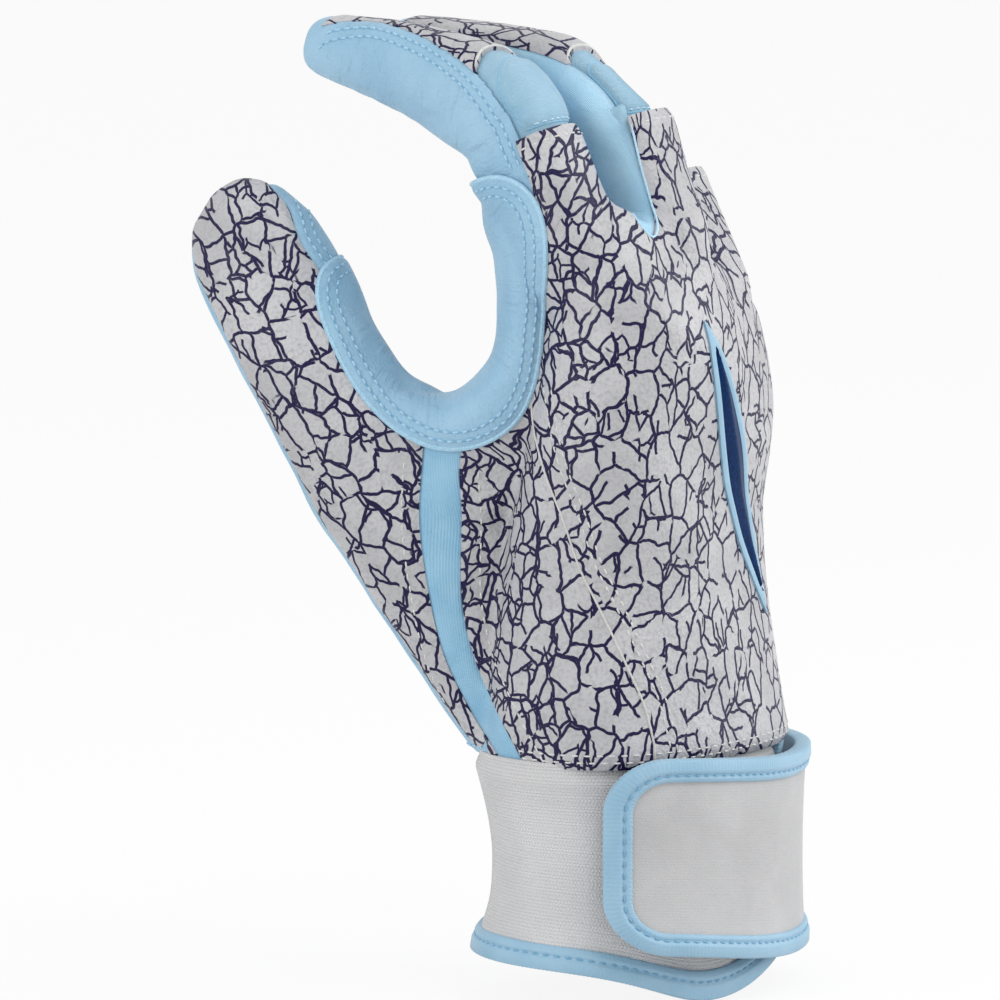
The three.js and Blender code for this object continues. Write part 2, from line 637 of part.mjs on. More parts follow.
function hemEdge() {
  const edge = [];
  const place = (s, z, turn) => edge.push({
    s, z, inward: new THREE.Vector2(-Math.cos(rad(turn)), -Math.sin(rad(turn))),
  });
  const left = slitSide + CUFF_CORNER;
  const right = WRIST_LENGTH - left;
  const height = cuffFoot + CUFF_CORNER;
  const arc = (centre, from) => {
    for (let turn = from; turn >= from - 90; turn -= 30) {
      place(centre + CUFF_CORNER * Math.cos(rad(turn)), height + CUFF_CORNER * Math.sin(rad(turn)), turn);
    }
  };
  const shares = [0.25, 0.5, 0.75, 1];
  const rise = (share) => height + (CUFF_HEIGHT - height) * share;
  shares.toReversed().forEach((share) => place(right + CUFF_CORNER, rise(share), 0));
  arc(right, 0);
  const steps = 30;
  for (let i = 1; i < steps; i++) {
    place(right + ((left - right) * i) / steps, cuffFoot, -90);
  }
  arc(left, -90);
  shares.forEach((share) => place(left - CUFF_CORNER, rise(share), -180));
  return edge;
}
add("hem_binding", tape(hemEdge(), HEM_WIDTH, HEM_WALL, 0, CUFF_WALL), TAPE);

// Strap with its pads
const strapEnd = wristLength(STRAP_END_ANGLE) - WRIST_LENGTH;
const strapRoot = wristLength(STRAP_ROOT_ANGLE);
const strapTop = STRAP_BASE + STRAP_HEIGHT;
const loopLow = CUFF_WALL + LAYER_GAP;
const hookLow = loopLow + PAD_WALL + LAYER_GAP;
const strapLow = hookLow + PAD_WALL + LAYER_GAP;
const padStart = strapEnd + 2 * STRAP_BINDING_WIDTH;
const padFoot = STRAP_BASE + (STRAP_HEIGHT - PAD_HEIGHT) / 2;
const pad = (u, v) => [padStart + PAD_LENGTH * u, padFoot + PAD_HEIGHT * v];
add("loop_pad", sheet(pad, 8, 4, loopLow, loopLow + PAD_WALL), FASTENER);
add("hook_pad", sheet(pad, 8, 4, hookLow, hookLow + PAD_WALL), FASTENER);
const anchor = (u, v) => [strapRoot - ANCHOR_LENGTH * (1 - u), padFoot + PAD_HEIGHT * v];
add("strap_anchor", sheet(anchor, 3, 4, loopLow, strapLow - LAYER_GAP), KNIT);
add("strap_panel", sheet((u, v) => {
  const z = STRAP_BASE + STRAP_HEIGHT * (1 - Math.cos(Math.PI * v)) / 2;
  const end = roundedEnd(strapEnd, -1, z, STRAP_BASE, strapTop, STRAP_CORNER);
  return [end + (strapRoot - end) * u, z];
}, 20, 12, strapLow, strapLow + STRAP_WALL), KNIT);
add("strap_binding", tape(endEdge(strapRoot, strapEnd, STRAP_BASE, strapTop, STRAP_CORNER, 5),
  STRAP_BINDING_WIDTH, STRAP_BINDING_WALL, strapLow, strapLow + STRAP_WALL), TAPE);

export default part;
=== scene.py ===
import math

import bpy
import numpy as np
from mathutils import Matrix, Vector
from mathutils.kdtree import KDTree


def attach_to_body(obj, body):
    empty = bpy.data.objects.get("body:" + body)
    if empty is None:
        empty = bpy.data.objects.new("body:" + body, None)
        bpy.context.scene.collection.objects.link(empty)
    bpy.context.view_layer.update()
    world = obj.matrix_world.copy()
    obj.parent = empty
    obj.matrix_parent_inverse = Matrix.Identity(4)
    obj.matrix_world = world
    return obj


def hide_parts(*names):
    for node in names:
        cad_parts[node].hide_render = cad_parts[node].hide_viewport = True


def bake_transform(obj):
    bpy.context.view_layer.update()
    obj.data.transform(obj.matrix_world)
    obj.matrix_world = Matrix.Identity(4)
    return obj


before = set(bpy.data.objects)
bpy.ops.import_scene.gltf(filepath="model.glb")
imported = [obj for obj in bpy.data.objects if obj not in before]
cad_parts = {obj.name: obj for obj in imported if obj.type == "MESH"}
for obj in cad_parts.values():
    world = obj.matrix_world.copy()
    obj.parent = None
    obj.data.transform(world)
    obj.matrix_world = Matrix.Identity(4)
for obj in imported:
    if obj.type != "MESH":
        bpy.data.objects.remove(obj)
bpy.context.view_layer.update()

MM = 0.001
# Millimetres per unit of a piece's own surface coordinates
UV_UNIT = 10

# Forms of the glove in millimetres, in the frame of the solids: +Z to the fingers, +X out of the
# back of the hand, +Y to the little finger. Fingers bend at hinge (X, Z); seam is how far below the
# hinge the back panel ends, flat how much the bent knuckle is flattened, and drop how far the print
# ends above its seam on the thumb side.
FINGERS = {
    "index": dict(y=-28, hinge=(-22, 172), lean=28, bend=46, wide=10.2, thick=22, reach=47, droop=3,
                  seam=3.6, flat=0.4, drop=0),
    "middle": dict(y=-6.5, hinge=(-13, 173), lean=26, bend=52, wide=10, thick=20.5, reach=50, droop=4,
                   seam=1.6, flat=4.2, drop=2.6),
    "ring": dict(y=14, hinge=(-15, 158), lean=28, bend=48, wide=9.4, thick=19, reach=47, droop=4,
                 seam=0.6, flat=2.8, drop=0),
    "little": dict(y=33, hinge=(-21, 138), lean=24, bend=62, wide=8.4, thick=18, reach=38, droop=3,
                   seam=4.0, flat=1.2, drop=0),
}
NAMES = list(FINGERS)
PIVOT_OFFSET = 1.2
ROOT_LENGTH = 44
ROOT_TAPER = 0.55
TIP_TAPER = 0.66
BACK_SEAM = 0.72
PALM_SEAM = 0.28
FINGER_SLIM = 0.35
FINGER_SQUARE = 2.5

# Stations: place, half width, half depth to the back and to the palm, roll, tilt
HAND = [
    (0, 0, 34, 33, 23, 23, 0, 0),
    (-1, -1, 48, 37.5, 27, 26.5, 0, 0),
    (0, -1, 75, 37.5, 22.5, 24, 6, 4),
    (3, 0, 103, 39.5, 18.5, 22, 10, 12),
    (5, 1, 127, 41, 18.2, 18, 10, 22),
    (1, 2, 147, 38, 14.5, 11.5, 4, 27),
]
THUMB = [
    (-9, -17, 42, 12, 9, 12),
    (-18, -23, 63, 15.5, 10, 13),
    (-27.5, -30.5, 87.5, 19, 11, 13),
    (-42.5, -39.5, 114, 17.5, 11, 12),
    (-60.5, -44.5, 141.5, 14.8, 11, 11),
    (-67, -45.2, 151.5, 14, 9.8, 9.8),
    (-72, -45.4, 159.5, 10.4, 7, 7),
    (-74.2, -45.6, 164, 4, 2.4, 2.4),
]
THUMB_SIDE = (0.685, 0.573, 0.436)
THUMB_KNUCKLE = 4
WEB = [
    (-51, -41, 137, 7, 5, 7),
    (-45, -39, 131, 8.5, 4.5, 10),
    (-38, -36, 122, 9.5, 4.5, 15),
    (-26, -32, 115, 10, 6, 25),
    (-14, -29, 124, 10, 5.5, 15),
    (-10, -28, 142, 9, 5, 9),
    (-12, -28, 156, 8.5, 6.8, 8),
    (-11, -28, 166, 7, 5, 6),
]
WEB_SIDE = (0.57, -0.8, 0.1)
HAND_FOOT = 46.3
THUMB_GAP = -38
CROTCH_REACH = (44, 26, 22)
VOXEL = 0.8

# Seams on the thumb side, drawn as the camera sees them: right and up in millimetres
VIEW_TURN = 35
VIEW_TIP = 8
BACK_EDGE = [
    (-29, 178), (-26, 170), (-22.5, 160), (-21, 147), (-22, 132), (-27, 118), (-37, 108), (-37.3, 93),
    (-37.3, 76), (-35, 65), (-31, 55), (-24.5, 42), (-20, 34),
]
STRIP_EDGE = [(-45.4, 108.6), (-46.2, 93), (-44.5, 79), (-41.5, 65.5), (-36.8, 55), (-29, 42), (-24, 34)]
THUMB_EDGE = [
    (-82, 170), (-78.5, 164), (-73.5, 158), (-71, 151), (-66, 143), (-61, 128), (-54, 117), (-45.4, 108.6),
]
PATCH_EDGE = [
    (-61, 149), (-66.5, 145), (-67.6, 139), (-64, 128.5), (-57.8, 118), (-50.4, 111), (-42, 107.5),
    (-33.6, 108.2), (-26.3, 112.8), (-22, 121), (-20.3, 133), (-19.5, 147), (-19.9, 153), (-21.6, 158.2),
    (-24.5, 161.8), (-28.5, 163.8), (-33, 163.6), (-38, 161), (-43, 155), (-45, 147),
]
INDEX_EDGE = [
    (-72, 190), (-70.5, 193), (-68.5, 194.9), (-65.1, 196.3), (-60, 197), (-55, 196.8), (-48.7, 194.7),
    (-43.3, 192), (-38, 188.2), (-34.6, 185.2), (-30.7, 180.2), (-27.3, 174.5), (-24.6, 167.8),
    (-21.2, 158.8), (-19.7, 150),
]
CREASE_LINE = [
    (-25, 122), (-23.3, 118.9), (-21.8, 109.6), (-19.7, 101.9), (-16.2, 92.8), (-12.8, 82.7), (-9.5, 76),
    (-6.5, 69.7), (-2.7, 61.5), (0.5, 54), (2.5, 46),
]
WEDGE_EDGE = [
    (-13, 180), (-9.6, 173), (-7.4, 168), (-5.5, 163.2), (-2.7, 157.5), (2.2, 151.6), (2.9, 153.9),
    (1.6, 158.6), (-0.6, 166.5), (-2.8, 175.8), (-4.6, 181),
]
FAR_WEDGE_EDGE = [(-60, 190), (-60, 138), (-16, 138), (-7, 148), *WEDGE_EDGE[5:]]
# Moves of the skin in the sketch: place, move, reach
PULLS = [
    ((-51.2, 131), (-3.2, -2.0), 11), ((-46.8, 124), (-1.3, -1.5), 6), ((-31.7, 149), (2.2, 0), 8),
    ((-34.9, 165), (-2.0, 0), 6), ((-68, 90), (-1.2, 0), 9), ((-92, 159), (1.3, -0.8), 8),
    ((28, 122), (-1.0, 0), 16), ((28, 92), (-1.4, 0), 18), ((-31.9, 129.6), (1.2, 0), 7),
    ((-34.5, 157), (-1.3, 0), 7), ((-57, 138), (-0.7, -0.5), 9), ((6.7, 176), (1.3, 0.4), 7),
    ((-62, 199.5), (0, -1.0), 9), ((-40, 171), (-0.9, -0.9), 7),
]
# Creases of the palm, as (Y, Z) lines with their depth
PALM_CREASES = [
    ([(33, 108), (20, 119), (4, 126), (-10, 128)], 0.7), ([(28, 92), (10, 106), (-8, 114), (-22, 116)], 0.6),
    ([(-20, 112), (-10, 98), (-4, 82), (-4, 64), (-8, 54)], 0.9), ([(14, 84), (12, 70), (6, 58)], 0.45),
]
CROTCH_TOP = (1.5, -2.5, -2.5)
# Place in the sketch, and reach, where the first two fingers' valley runs out softly
VALLEY = (-3, 160, 11)
HAND_AXIS = -12
BACK_DEPTH = 26
STRIP_DEPTH = 20
THUMB_FACING = 0.34
PATCH_DEPTH = 8
PATCH_MIDDLE = (-44, 141)
PATCH_ARCH = 161
INSERT_CENTRE = (4, 106)
INSERT_LEAN = 26
INSERT_LENGTH = 74
INSERT_WIDTH = 11
INSERT_BORDER = 1.8

# Cuff and strap
CUFF_HEIGHT = 47
CUFF_HALF_WIDTH = 36.5
CUFF_HALF_DEPTH = 26
CUFF_SHIFT = -1.5
CUFF_WAIST = 2.8
CUFF_WALL = 1.7
CUFF_CORNER = 7
SLIT_ANGLE = 46
SLIT_WIDTH = 5
HEM_WIDTH = 4.4
HEM_BULGE = 0.95
HEM_SEAM = 2.2
HEM_RISE = 4
HEM_LOW_ANGLE = 25
# Hem: rise, dip, the dip's angle and its reach to each side. Flare: at top and foot, angle, reach
HEM_DIP = (4.9, 8.9, -20, 40, 60)
CUFF_FLARE = (1.8, 1.2, -135, 45)
STRAP_WAIST = 0.8
# Strap: rise of its free end, fall from there, and the angles between which it falls
STRAP_TILT = (2.4, 3.6, -66, 35)
STRAP_BASE = 5.5
STRAP_HEIGHT = 40
STRAP_WALL = 1.6
STRAP_LOW = 5.7
STRAP_END_ANGLE = -67.5
STRAP_ROOT_ANGLE = 86
STRAP_CORNER = 10.5
STRAP_BINDING_WIDTH = 3.6
STRAP_BULGE = 0.9
STRAP_SEAM = 2.1
SEAM_DEPTH = 0.5
SEAM_WIDTH = 0.5
PAD_LENGTH = 34
PAD_HEIGHT = 26
PAD_WALL = 1.3

# Thickness of the panels, rows of stitches, and a field's value well outside its panel
LEATHER_WALL = 1.0
CLOTH_WALL = 0.8
SATIN_WALL = 0.7
PATCH_WALL = 1.15
FINGER_BACK_WALL = 0.9
FINGER_PALM_WALL = 0.95
FINE_STITCH = dict(pitch=2.6, size=1.9, radius=0.2, lift=0.05)
FLEX_STITCH = dict(pitch=2.0, size=1.5, radius=0.2, lift=0.08)
TAPE_STITCH = dict(pitch=2.4, size=2.0, radius=0.24)
ROOT_STITCH = dict(pitch=2.8, size=2.1, radius=0.24)
OUTSIDE = -9

# Rows of stitches: distances from a panel's edge
FOOT_ROWS = (1.7, 3.2)
CREASE_ROWS = (3.2, 4.6)
THUMB_ROWS = (1.8, 3.4)
PATCH_ROWS = (2.0, 3.8)
FINGER_ROWS = (1.9, 3.7)
# Fingers sewn along their palm edge, and how far towards the little finger's side that starts
SEWN_FINGERS = {"index": -2, "little": 0.3}
# Thickness in millimetres by which a wall's field between the fingers is scaled
WALL_SCALE = 21

# Floor and lamps: each lamp's place to the right, near and up, its size and its power
FLOOR = -0.0052
FLOOR_SIZE = 6
FLOOR_GREY = 0.82
FLOOR_GLOW = 0.9
WORLD_LEVEL = 0.61
LAMP_TARGET = (-0.015, 0, 0.1)
LAMPS = {
    "key": (0.3, 0.75, 1.1, 0.5, 3.4),
    "side": (1.1, -0.1, 0.35, 0.45, 5.2),
    "upper": (0.9, 0.35, 1.0, 0.4, 4.6),
    "fill": (-0.9, 0.8, 0.3, 0.8, 6.2),
}

# Photograph's frame: millimetres per pixel and the pixel of the frame's origin
IMAGE_SIZE = 1000
PIXEL = 0.21
ORIGIN_PIXEL = (640, 962)
LENS = 500


def unit(vector):
    vector = np.asarray(vector, float)
    return vector / np.linalg.norm(vector, axis=-1, keepdims=True)


def smoothstep(low, high, value):
    t = np.clip((value - low) / (high - low), 0, 1)
    return t * t * (3 - 2 * t)


turn, tip = math.radians(VIEW_TURN), math.radians(VIEW_TIP)
RIGHT = np.array([math.cos(turn), math.sin(turn), 0])
NEAR = np.array([math.sin(turn) * math.cos(tip), -math.cos(turn) * math.cos(tip), math.sin(tip)])
UP = np.cross(NEAR, RIGHT)


# Surfaces
class Skin:
    """Triangle surface in millimetres, with a normal and named values at each point."""

    def __init__(self, points, faces, values=None, normals=None):
        self.points = np.asarray(points, float)
        self.faces = np.asarray(faces, int)
        self.values = dict(values or {})
        self.normals = point_normals(self.points, self.faces) if normals is None else normals

    def raised(self, height):
        moved = self.points + self.normals * np.broadcast_to(height, len(self.points))[:, None]
        return Skin(moved, self.faces, self.values, self.normals)


def point_normals(points, faces):
    a, b, c = (points[faces[:, k]] for k in range(3))
    flat = np.cross(b - a, c - a)
    total = np.zeros_like(points)
    for k in range(3):
        for axis in range(3):
            total[:, axis] += np.bincount(faces[:, k], flat[:, axis], len(points))
    return total / np.maximum(np.linalg.norm(total, axis=1, keepdims=True), 1e-9)


def edges_of(faces):
    pairs = np.concatenate([faces[:, [0, 1]], faces[:, [1, 2]], faces[:, [2, 0]]])
    return np.unique(np.sort(pairs, axis=1), axis=0)


def pulled(points):
    """Points moved in the plane of the sketch, on the left only where they are on the thumb side."""
    for (right, up), (across, rise), reach in PULLS:
        away = np.hypot(points @ RIGHT - right, points @ UP - up) / reach
        share = np.exp(-away ** 2) * (smoothstep(0, -20, points[:, 1]) if right < 0 else 1)
        points = points + share[:, None] * (RIGHT * across + UP * rise)
    return points


def smoothed(points, faces, rounds, strength=0.5):
    pairs = edges_of(faces)
    degree = np.bincount(pairs.ravel(), minlength=len(points))[:, None]
    for _ in range(rounds):
        total = np.zeros_like(points)
        for axis in range(points.shape[1]):
            total[:, axis] = np.bincount(pairs[:, 0], points[pairs[:, 1], axis], len(points))
            total[:, axis] += np.bincount(pairs[:, 1], points[pairs[:, 0], axis], len(points))
        points = points + strength * (total / np.maximum(degree, 1) - points)
    return points


def crossing(faces, value, where=None):
    """Where a field's zero line crosses faces, kept to a mask: the faces all inside, the corners of each
    crossed face with the lone one first, whether that one is inside, the crossed edges, the zero's share
    of each edge, and the two edges of each crossed face."""
    inside = value[faces] > 0
    count = inside.sum(1)
    split = (count == 1) | (count == 2)
    if where is not None:
        split &= where[faces].all(1)
    alone = count[split] == 1
    lone = np.where(alone, inside[split].argmax(1), inside[split].argmin(1))
    row = np.arange(len(lone))
    a, b, c = (faces[split][row, (lone + k) % 3] for k in range(3))
    pairs = np.sort(np.concatenate([np.stack([a, b], 1), np.stack([a, c], 1)]), axis=1)
    ends, edges = np.unique(pairs, axis=0, return_inverse=True)
    low, high = value[ends.T]
    return faces[count == 3], (a, b, c), alone, ends, low / (low - high), np.split(edges.ravel(), 2)


def cut(skin, field):
    """Part of a skin where the field is positive, with a clean edge along its zero line."""
    whole, (a, b, c), alone, ends, share, edges = crossing(skin.faces, field)
    ab, ac = (edge + len(skin.points) for edge in edges)
    share = np.clip(share, 0.05, 0.95)
    new_faces = np.concatenate([
        whole,
        np.stack([a, ab, ac], 1)[alone],
        np.stack([ab, b, c], 1)[~alone],
        np.stack([ab, c, ac], 1)[~alone],
    ])

    def spread(value):
        mix = share if value.ndim == 1 else share[:, None]
        return np.concatenate([value, value[ends[:, 0]] * (1 - mix) + value[ends[:, 1]] * mix])

    used, faces = np.unique(new_faces, return_inverse=True)
    values = {name: spread(value)[used] for name, value in skin.values.items()}
    return Skin(spread(skin.points)[used], faces.reshape(-1, 3), values, unit(spread(skin.normals)[used]))


def rim(faces):
    """Edges of a surface that only one face has, in that face's direction."""
    pairs = np.concatenate([faces[:, [0, 1]], faces[:, [1, 2]], faces[:, [2, 0]]])
    _, where, count = np.unique(np.sort(pairs, axis=1), axis=0, return_index=True, return_counts=True)
    return pairs[where[count == 1]]


def rim_distance(skin):
    border = rim(skin.faces)
    marks = np.concatenate([skin.points[border[:, 0]], skin.points[border].mean(1)])
    tree = KDTree(len(marks))
    for i, mark in enumerate(marks):
        tree.insert(mark, i)
    tree.balance()
    return np.array([tree.find(p)[2] for p in skin.points])


def levels(skin, field, level, where=None):
    """Lines on a skin where a field has that level, as (points, normals), kept to where a mask is true."""
    *_, ends, share, edges = crossing(skin.faces, field - level, where)
    mix = share[:, None]
    points = skin.points[ends[:, 0]] * (1 - mix) + skin.points[ends[:, 1]] * mix
    normals = unit(skin.normals[ends[:, 0]] * (1 - mix) + skin.normals[ends[:, 1]] * mix)
    joined = [[] for _ in ends]
    for i, j in zip(*edges):
        joined[i].append(j)
        joined[j].append(i)
    lines, seen = [], set()
    for start in sorted(range(len(ends)), key=lambda i: (len(joined[i]) != 1, i)):
        chain = []
        step = [] if start in seen else [start]
        while step:
            chain.append(step[0])
            seen.add(step[0])
            step = [j for j in joined[step[0]] if j not in seen]
        if len(chain) > 3:
            lines.append((points[chain], normals[chain]))
    return lines


def rows_at(skin, field, heights, where=None):
    return [line for level in heights for line in levels(skin, field, level, where)]


# Curves and lofts
def centre_line(places, count):
    """Centripetal curve through the places: points and directions at evenly spaced knot values."""
    p = np.array(places, float)
    p = np.vstack([2 * p[0] - p[1], p, 2 * p[-1] - p[-2]])
    knots = len(places) - 1
    points, runs = [], []
    for t in np.linspace(0, knots, count):
        i = min(int(t), knots - 1)
        w = t - i
        x0, x1, x2, x3 = p[i:i + 4]
        d0, d1, d2 = (math.sqrt(np.linalg.norm(v)) for v in (x1 - x0, x2 - x1, x3 - x2))
        t1 = ((x1 - x0) / d0 - (x2 - x0) / (d0 + d1) + (x2 - x1) / d1) * d1
        t2 = ((x2 - x1) / d1 - (x3 - x1) / (d1 + d2) + (x3 - x2) / d2) * d1
        c2 = 3 * (x2 - x1) - 2 * t1 - t2
        c3 = 2 * (x1 - x2) + t1 + t2
        points.append(x1 + t1 * w + c2 * w * w + c3 * w ** 3)
        runs.append(t1 + 2 * c2 * w + 3 * c3 * w * w)
    return np.array(points), unit(np.array(runs))


def curve_2d(points, count):
    line, _ = centre_line([(x, y, 0) for x, y in points], count)
    return line[:, :2]


def oval(centre, side, back, wide, deep_back, deep_palm, square, sides):
    angle = np.linspace(0, 2 * math.pi, sides, endpoint=False)
    c, s = np.cos(angle), np.sin(angle)
    across = wide * np.sign(c) * np.abs(c) ** (2 / square)
    out = np.where(s > 0, deep_back, deep_palm) * np.sign(s) * np.abs(s) ** (2 / square)
    return centre + across[:, None] * side + out[:, None] * back


def grid_faces(rows, columns, closed):
    """Quads as triangles over rows of points; closed joins the last column to the first."""
    i, j = np.meshgrid(np.arange(rows - 1), np.arange(columns if closed else columns - 1), indexing="ij")
    k = (j + 1) % columns
    a, b = i * columns + j, i * columns + k
    c, d = a + columns, b + columns
    quads = [np.stack([a, b, d], -1), np.stack([a, d, c], -1)]
    return np.concatenate([q.reshape(-1, 3) for q in quads])


def loft(rings):
    """Closed body through rings of points, ends closed by fans."""
    rows, columns = len(rings), len(rings[0])
    points = np.concatenate([np.concatenate(rings), [rings[0].mean(0), rings[-1].mean(0)]])
    j = np.arange(columns)
    k = (j + 1) % columns
    first, last = len(points) - 2, len(points) - 1
    top = (rows - 1) * columns
    faces = np.concatenate([
        grid_faces(rows, columns, True),
        np.stack([np.full(columns, first), k, j], 1),
        np.stack([np.full(columns, last), top + j, top + k], 1),
    ])
    a, b, c = (points[faces[:, k]] - points[first] for k in range(3))
    return points, faces if np.einsum("ij,ij->i", a, np.cross(b, c)).sum() > 0 else faces[:, ::-1]


def tube(stations, sideways, square, steps, sides):
    """Body lofted along stations; with no sideways direction given, stations hold a roll and a tilt."""
    table = np.array(stations, float)
    knot = np.linspace(0, len(table) - 1, steps + 1)

    def between(column):
        return np.interp(knot, np.arange(len(table)), table[:, column])

    centres, runs = centre_line(table[:, :3], steps + 1)
    sizes = np.stack([between(k) for k in (3, 4, 5)], 1)
    if sideways is None:
        roll, tilt = np.radians(between(6)), np.radians(between(7))
        side = unit(np.stack([-np.sin(roll), np.cos(roll) * np.cos(tilt), -np.sin(tilt)], 1))
    else:
        side = unit(np.array(sideways) - runs * (runs @ unit(sideways))[:, None] * np.linalg.norm(sideways))
    back = unit(np.cross(side, runs))
    return loft([oval(c, s, b, *size, square, sides) for c, s, b, size in zip(centres, side, back, sizes)])


def hinge_of(finger):
    return np.array([finger["hinge"][0], finger["y"], finger["hinge"][1]])


def finger_axes(angle):
    """Directions out of a finger's back and along it, where it leans by that angle."""
    angle = math.radians(angle)
    out = np.array([math.cos(angle), 0, math.sin(angle)])
    return out, np.array([-out[2], 0, out[0]])


def finger_ring(finger, angle, run, sink, scale, sides):
    out, along = finger_axes(angle)
    half = finger["thick"] / 2
    centre = hinge_of(finger) + out * (PIVOT_OFFSET + half - sink) + along * run
    wide = (finger["wide"] - FINGER_SLIM) * scale
    return oval(centre, np.array([0, 1, 0]), out, wide, half * scale, half * scale, FINGER_SQUARE, sides)


def finger_root(finger, end):
    lean = finger["lean"]
    runs = np.concatenate([[-ROOT_LENGTH], np.linspace(-0.6 * ROOT_LENGTH, end, 20)])
    return loft([finger_ring(finger, lean, r, 0, ROOT_TAPER if r == -ROOT_LENGTH else 1, 40) for r in runs])


def union(bodies):
    """Outer surface of overlapping bodies as one even skin."""
    mesh = bpy.data.meshes.new("union")
    points, faces = [], []
    for body_points, body_faces in bodies:
        faces.append(body_faces + sum(len(p) for p in points))
        points.append(body_points)
    mesh.from_pydata(np.concatenate(points), [], np.concatenate(faces).tolist())
    source = bpy.data.objects.new("union", mesh)
    bpy.context.scene.collection.objects.link(source)
    remesh = source.modifiers.new("even", "REMESH")
    remesh.mode = "VOXEL"
    remesh.voxel_size = VOXEL
    even = source.evaluated_get(bpy.context.evaluated_depsgraph_get()).to_mesh()
    even.calc_loop_triangles()
    points = np.zeros(len(even.vertices) * 3)
    even.vertices.foreach_get("co", points)
    faces = np.zeros(len(even.loop_triangles) * 3, int)
    even.loop_triangles.foreach_get("vertices", faces)
    points, faces = points.reshape(-1, 3), faces.reshape(-1, 3)
    bpy.data.objects.remove(source)
    bpy.data.meshes.remove(mesh)
    return points, faces


# Meshes and stitches
def add_mesh(name, points, faces, material, uv=None, sharp=40, dense=None):
    mesh = bpy.data.meshes.new(name)
    mesh.from_pydata(np.asarray(points) * MM, [], [list(map(int, f)) for f in faces])
    if uv is not None:
        layer = mesh.uv_layers.new(name="surface")
        corners = np.zeros(len(mesh.loops), int)
        mesh.loops.foreach_get("vertex_index", corners)
        layer.data.foreach_set("uv", uv[corners].astype(np.float32).ravel())
    if dense is not None:
        mesh.attributes.new("dense", "FLOAT", "POINT").data.foreach_set("value", dense.astype(np.float32))
    mesh.shade_smooth()
    mesh.set_sharp_from_angle(angle=math.radians(sharp))
    mesh.materials.append(material)
    piece = bpy.data.objects.new(name, mesh)
    bpy.context.scene.collection.objects.link(piece)
    return piece


def attach(piece, body, *nodes, slot=None, bend=None):
    """Piece on its body, or, where a bend line is given, left unattached with its transform baked; either way
    in place of nodes of the frame, which are hidden.
    """
    if bend is None:
        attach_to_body(piece, body)
    else:
        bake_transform(piece)
    if nodes:
        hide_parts(*nodes)


def sheet_faces(faces, count):
    """Faces of a closed sheet: a surface, its underside of as many points, and the sides along its rim."""
    border = rim(faces)
    sides = np.stack([border[:, 1], border[:, 0], border[:, 0] + count, border[:, 1] + count], 1)
    return [*faces, *(faces[:, ::-1] + count), *sides]


def shell(name, skin, wall, material, dip=0.35, dip_width=0.9):
    """Panel of even thickness under a skin, its rim rolled in, and the skin so rolled."""
    skin = skin.raised(-dip * np.exp(-((rim_distance(skin) / dip_width) ** 2)))
    points = np.concatenate([skin.points, skin.points - skin.normals * wall])
    uv = np.tile(np.stack([skin.values["u"], skin.values["v"]], 1) / UV_UNIT, (2, 1))
    dense = np.tile(skin.values["dense"], 2) if "dense" in skin.values else None
    return add_mesh(name, points, sheet_faces(skin.faces, len(skin.points)), material, uv, dense=dense), skin


def lengths(line):
    """Length of a line up to each of its points."""
    return np.concatenate([[0], np.cumsum(np.linalg.norm(np.diff(line, axis=0), axis=1))])


def spaced(line, step):
    """Places at even steps along a line, and its length up to each of its points."""
    length = lengths(line)
    return np.arange(0, length[-1], step), length


def along_line(line, at, length):
    return np.stack([np.interp(at, length, line[:, k]) for k in range(line.shape[1])], -1)


def smooth_line(line, rounds=6):
    line = line.copy()
    for _ in range(rounds):
        line[1:-1] = 0.5 * line[1:-1] + 0.25 * (line[:-2] + line[2:])
    return line


def rings_round(centre, side, out, girth, sides):
    """Circles of points round a line, in its two sideways directions."""
    turns = np.linspace(0, 2 * math.pi, sides, endpoint=False)[None, :, None]
    return centre[:, None, :] + girth[:, None, None] * (
        np.cos(turns) * side[:, None, :] + np.sin(turns) * out[:, None, :])


def stitches(name, lines, material, pitch=2.1, size=1.65, radius=0.27, lift=0.16):
    """Row of short threads along lines on a skin, their ends sunk."""
    rings, sides = 6, 6
    share = np.linspace(-0.5, 0.5, rings)
    girth = radius * np.sqrt(np.clip(1 - (2 * share) ** 4, 0.12, 1))
    height = lift - 0.35 * (2 * share) ** 2
    pattern = grid_faces(rings, sides, True)
    points, faces = [], []
    for line, normal in lines:
        line, normal = smooth_line(line), smooth_line(normal)
        at, length = spaced(line, pitch)
        for start in at[:-1] + pitch / 2:
            place = start + share * size
            if place[0] < 0 or place[-1] > length[-1]:
                continue
            centre = along_line(line, place, length)
            out = unit(along_line(normal, place, length))
            side = unit(np.cross(out, unit(centre[-1] - centre[0])))
            base = len(points) * rings * sides
            points.append(rings_round(centre + out * height[:, None], side, out, girth, sides).reshape(-1, 3))
            faces.extend((pattern + base).tolist())
            faces.append([base + k for k in range(sides)][::-1])
            faces.append([base + (rings - 1) * sides + k for k in range(sides)])
    return add_mesh(name, np.concatenate(points), faces, material, sharp=60)


def bead(name, lines, radius, lift, material, sides=8, step=0.7):
    """Thin round welt along lines on a skin."""
    points, faces = [], []
    total = 0
    for line, normal in lines:
        at, length = spaced(line, step)
        if len(at) < 6:
            continue
        centre = along_line(smooth_line(line), at, length)
        out = unit(along_line(smooth_line(normal), at, length))
        side = unit(np.cross(out, unit(np.gradient(centre, axis=0))))
        thin = radius * smoothstep(0, 3, np.minimum(at, at[-1] - at) + 0.6)
        body, body_faces = loft(list(rings_round(centre + out * lift, side, out, thin, sides)))
        points.append(body)
        faces.append(body_faces + total)
        total += len(body)
    return add_mesh(name, np.concatenate(points), np.concatenate(faces), material)


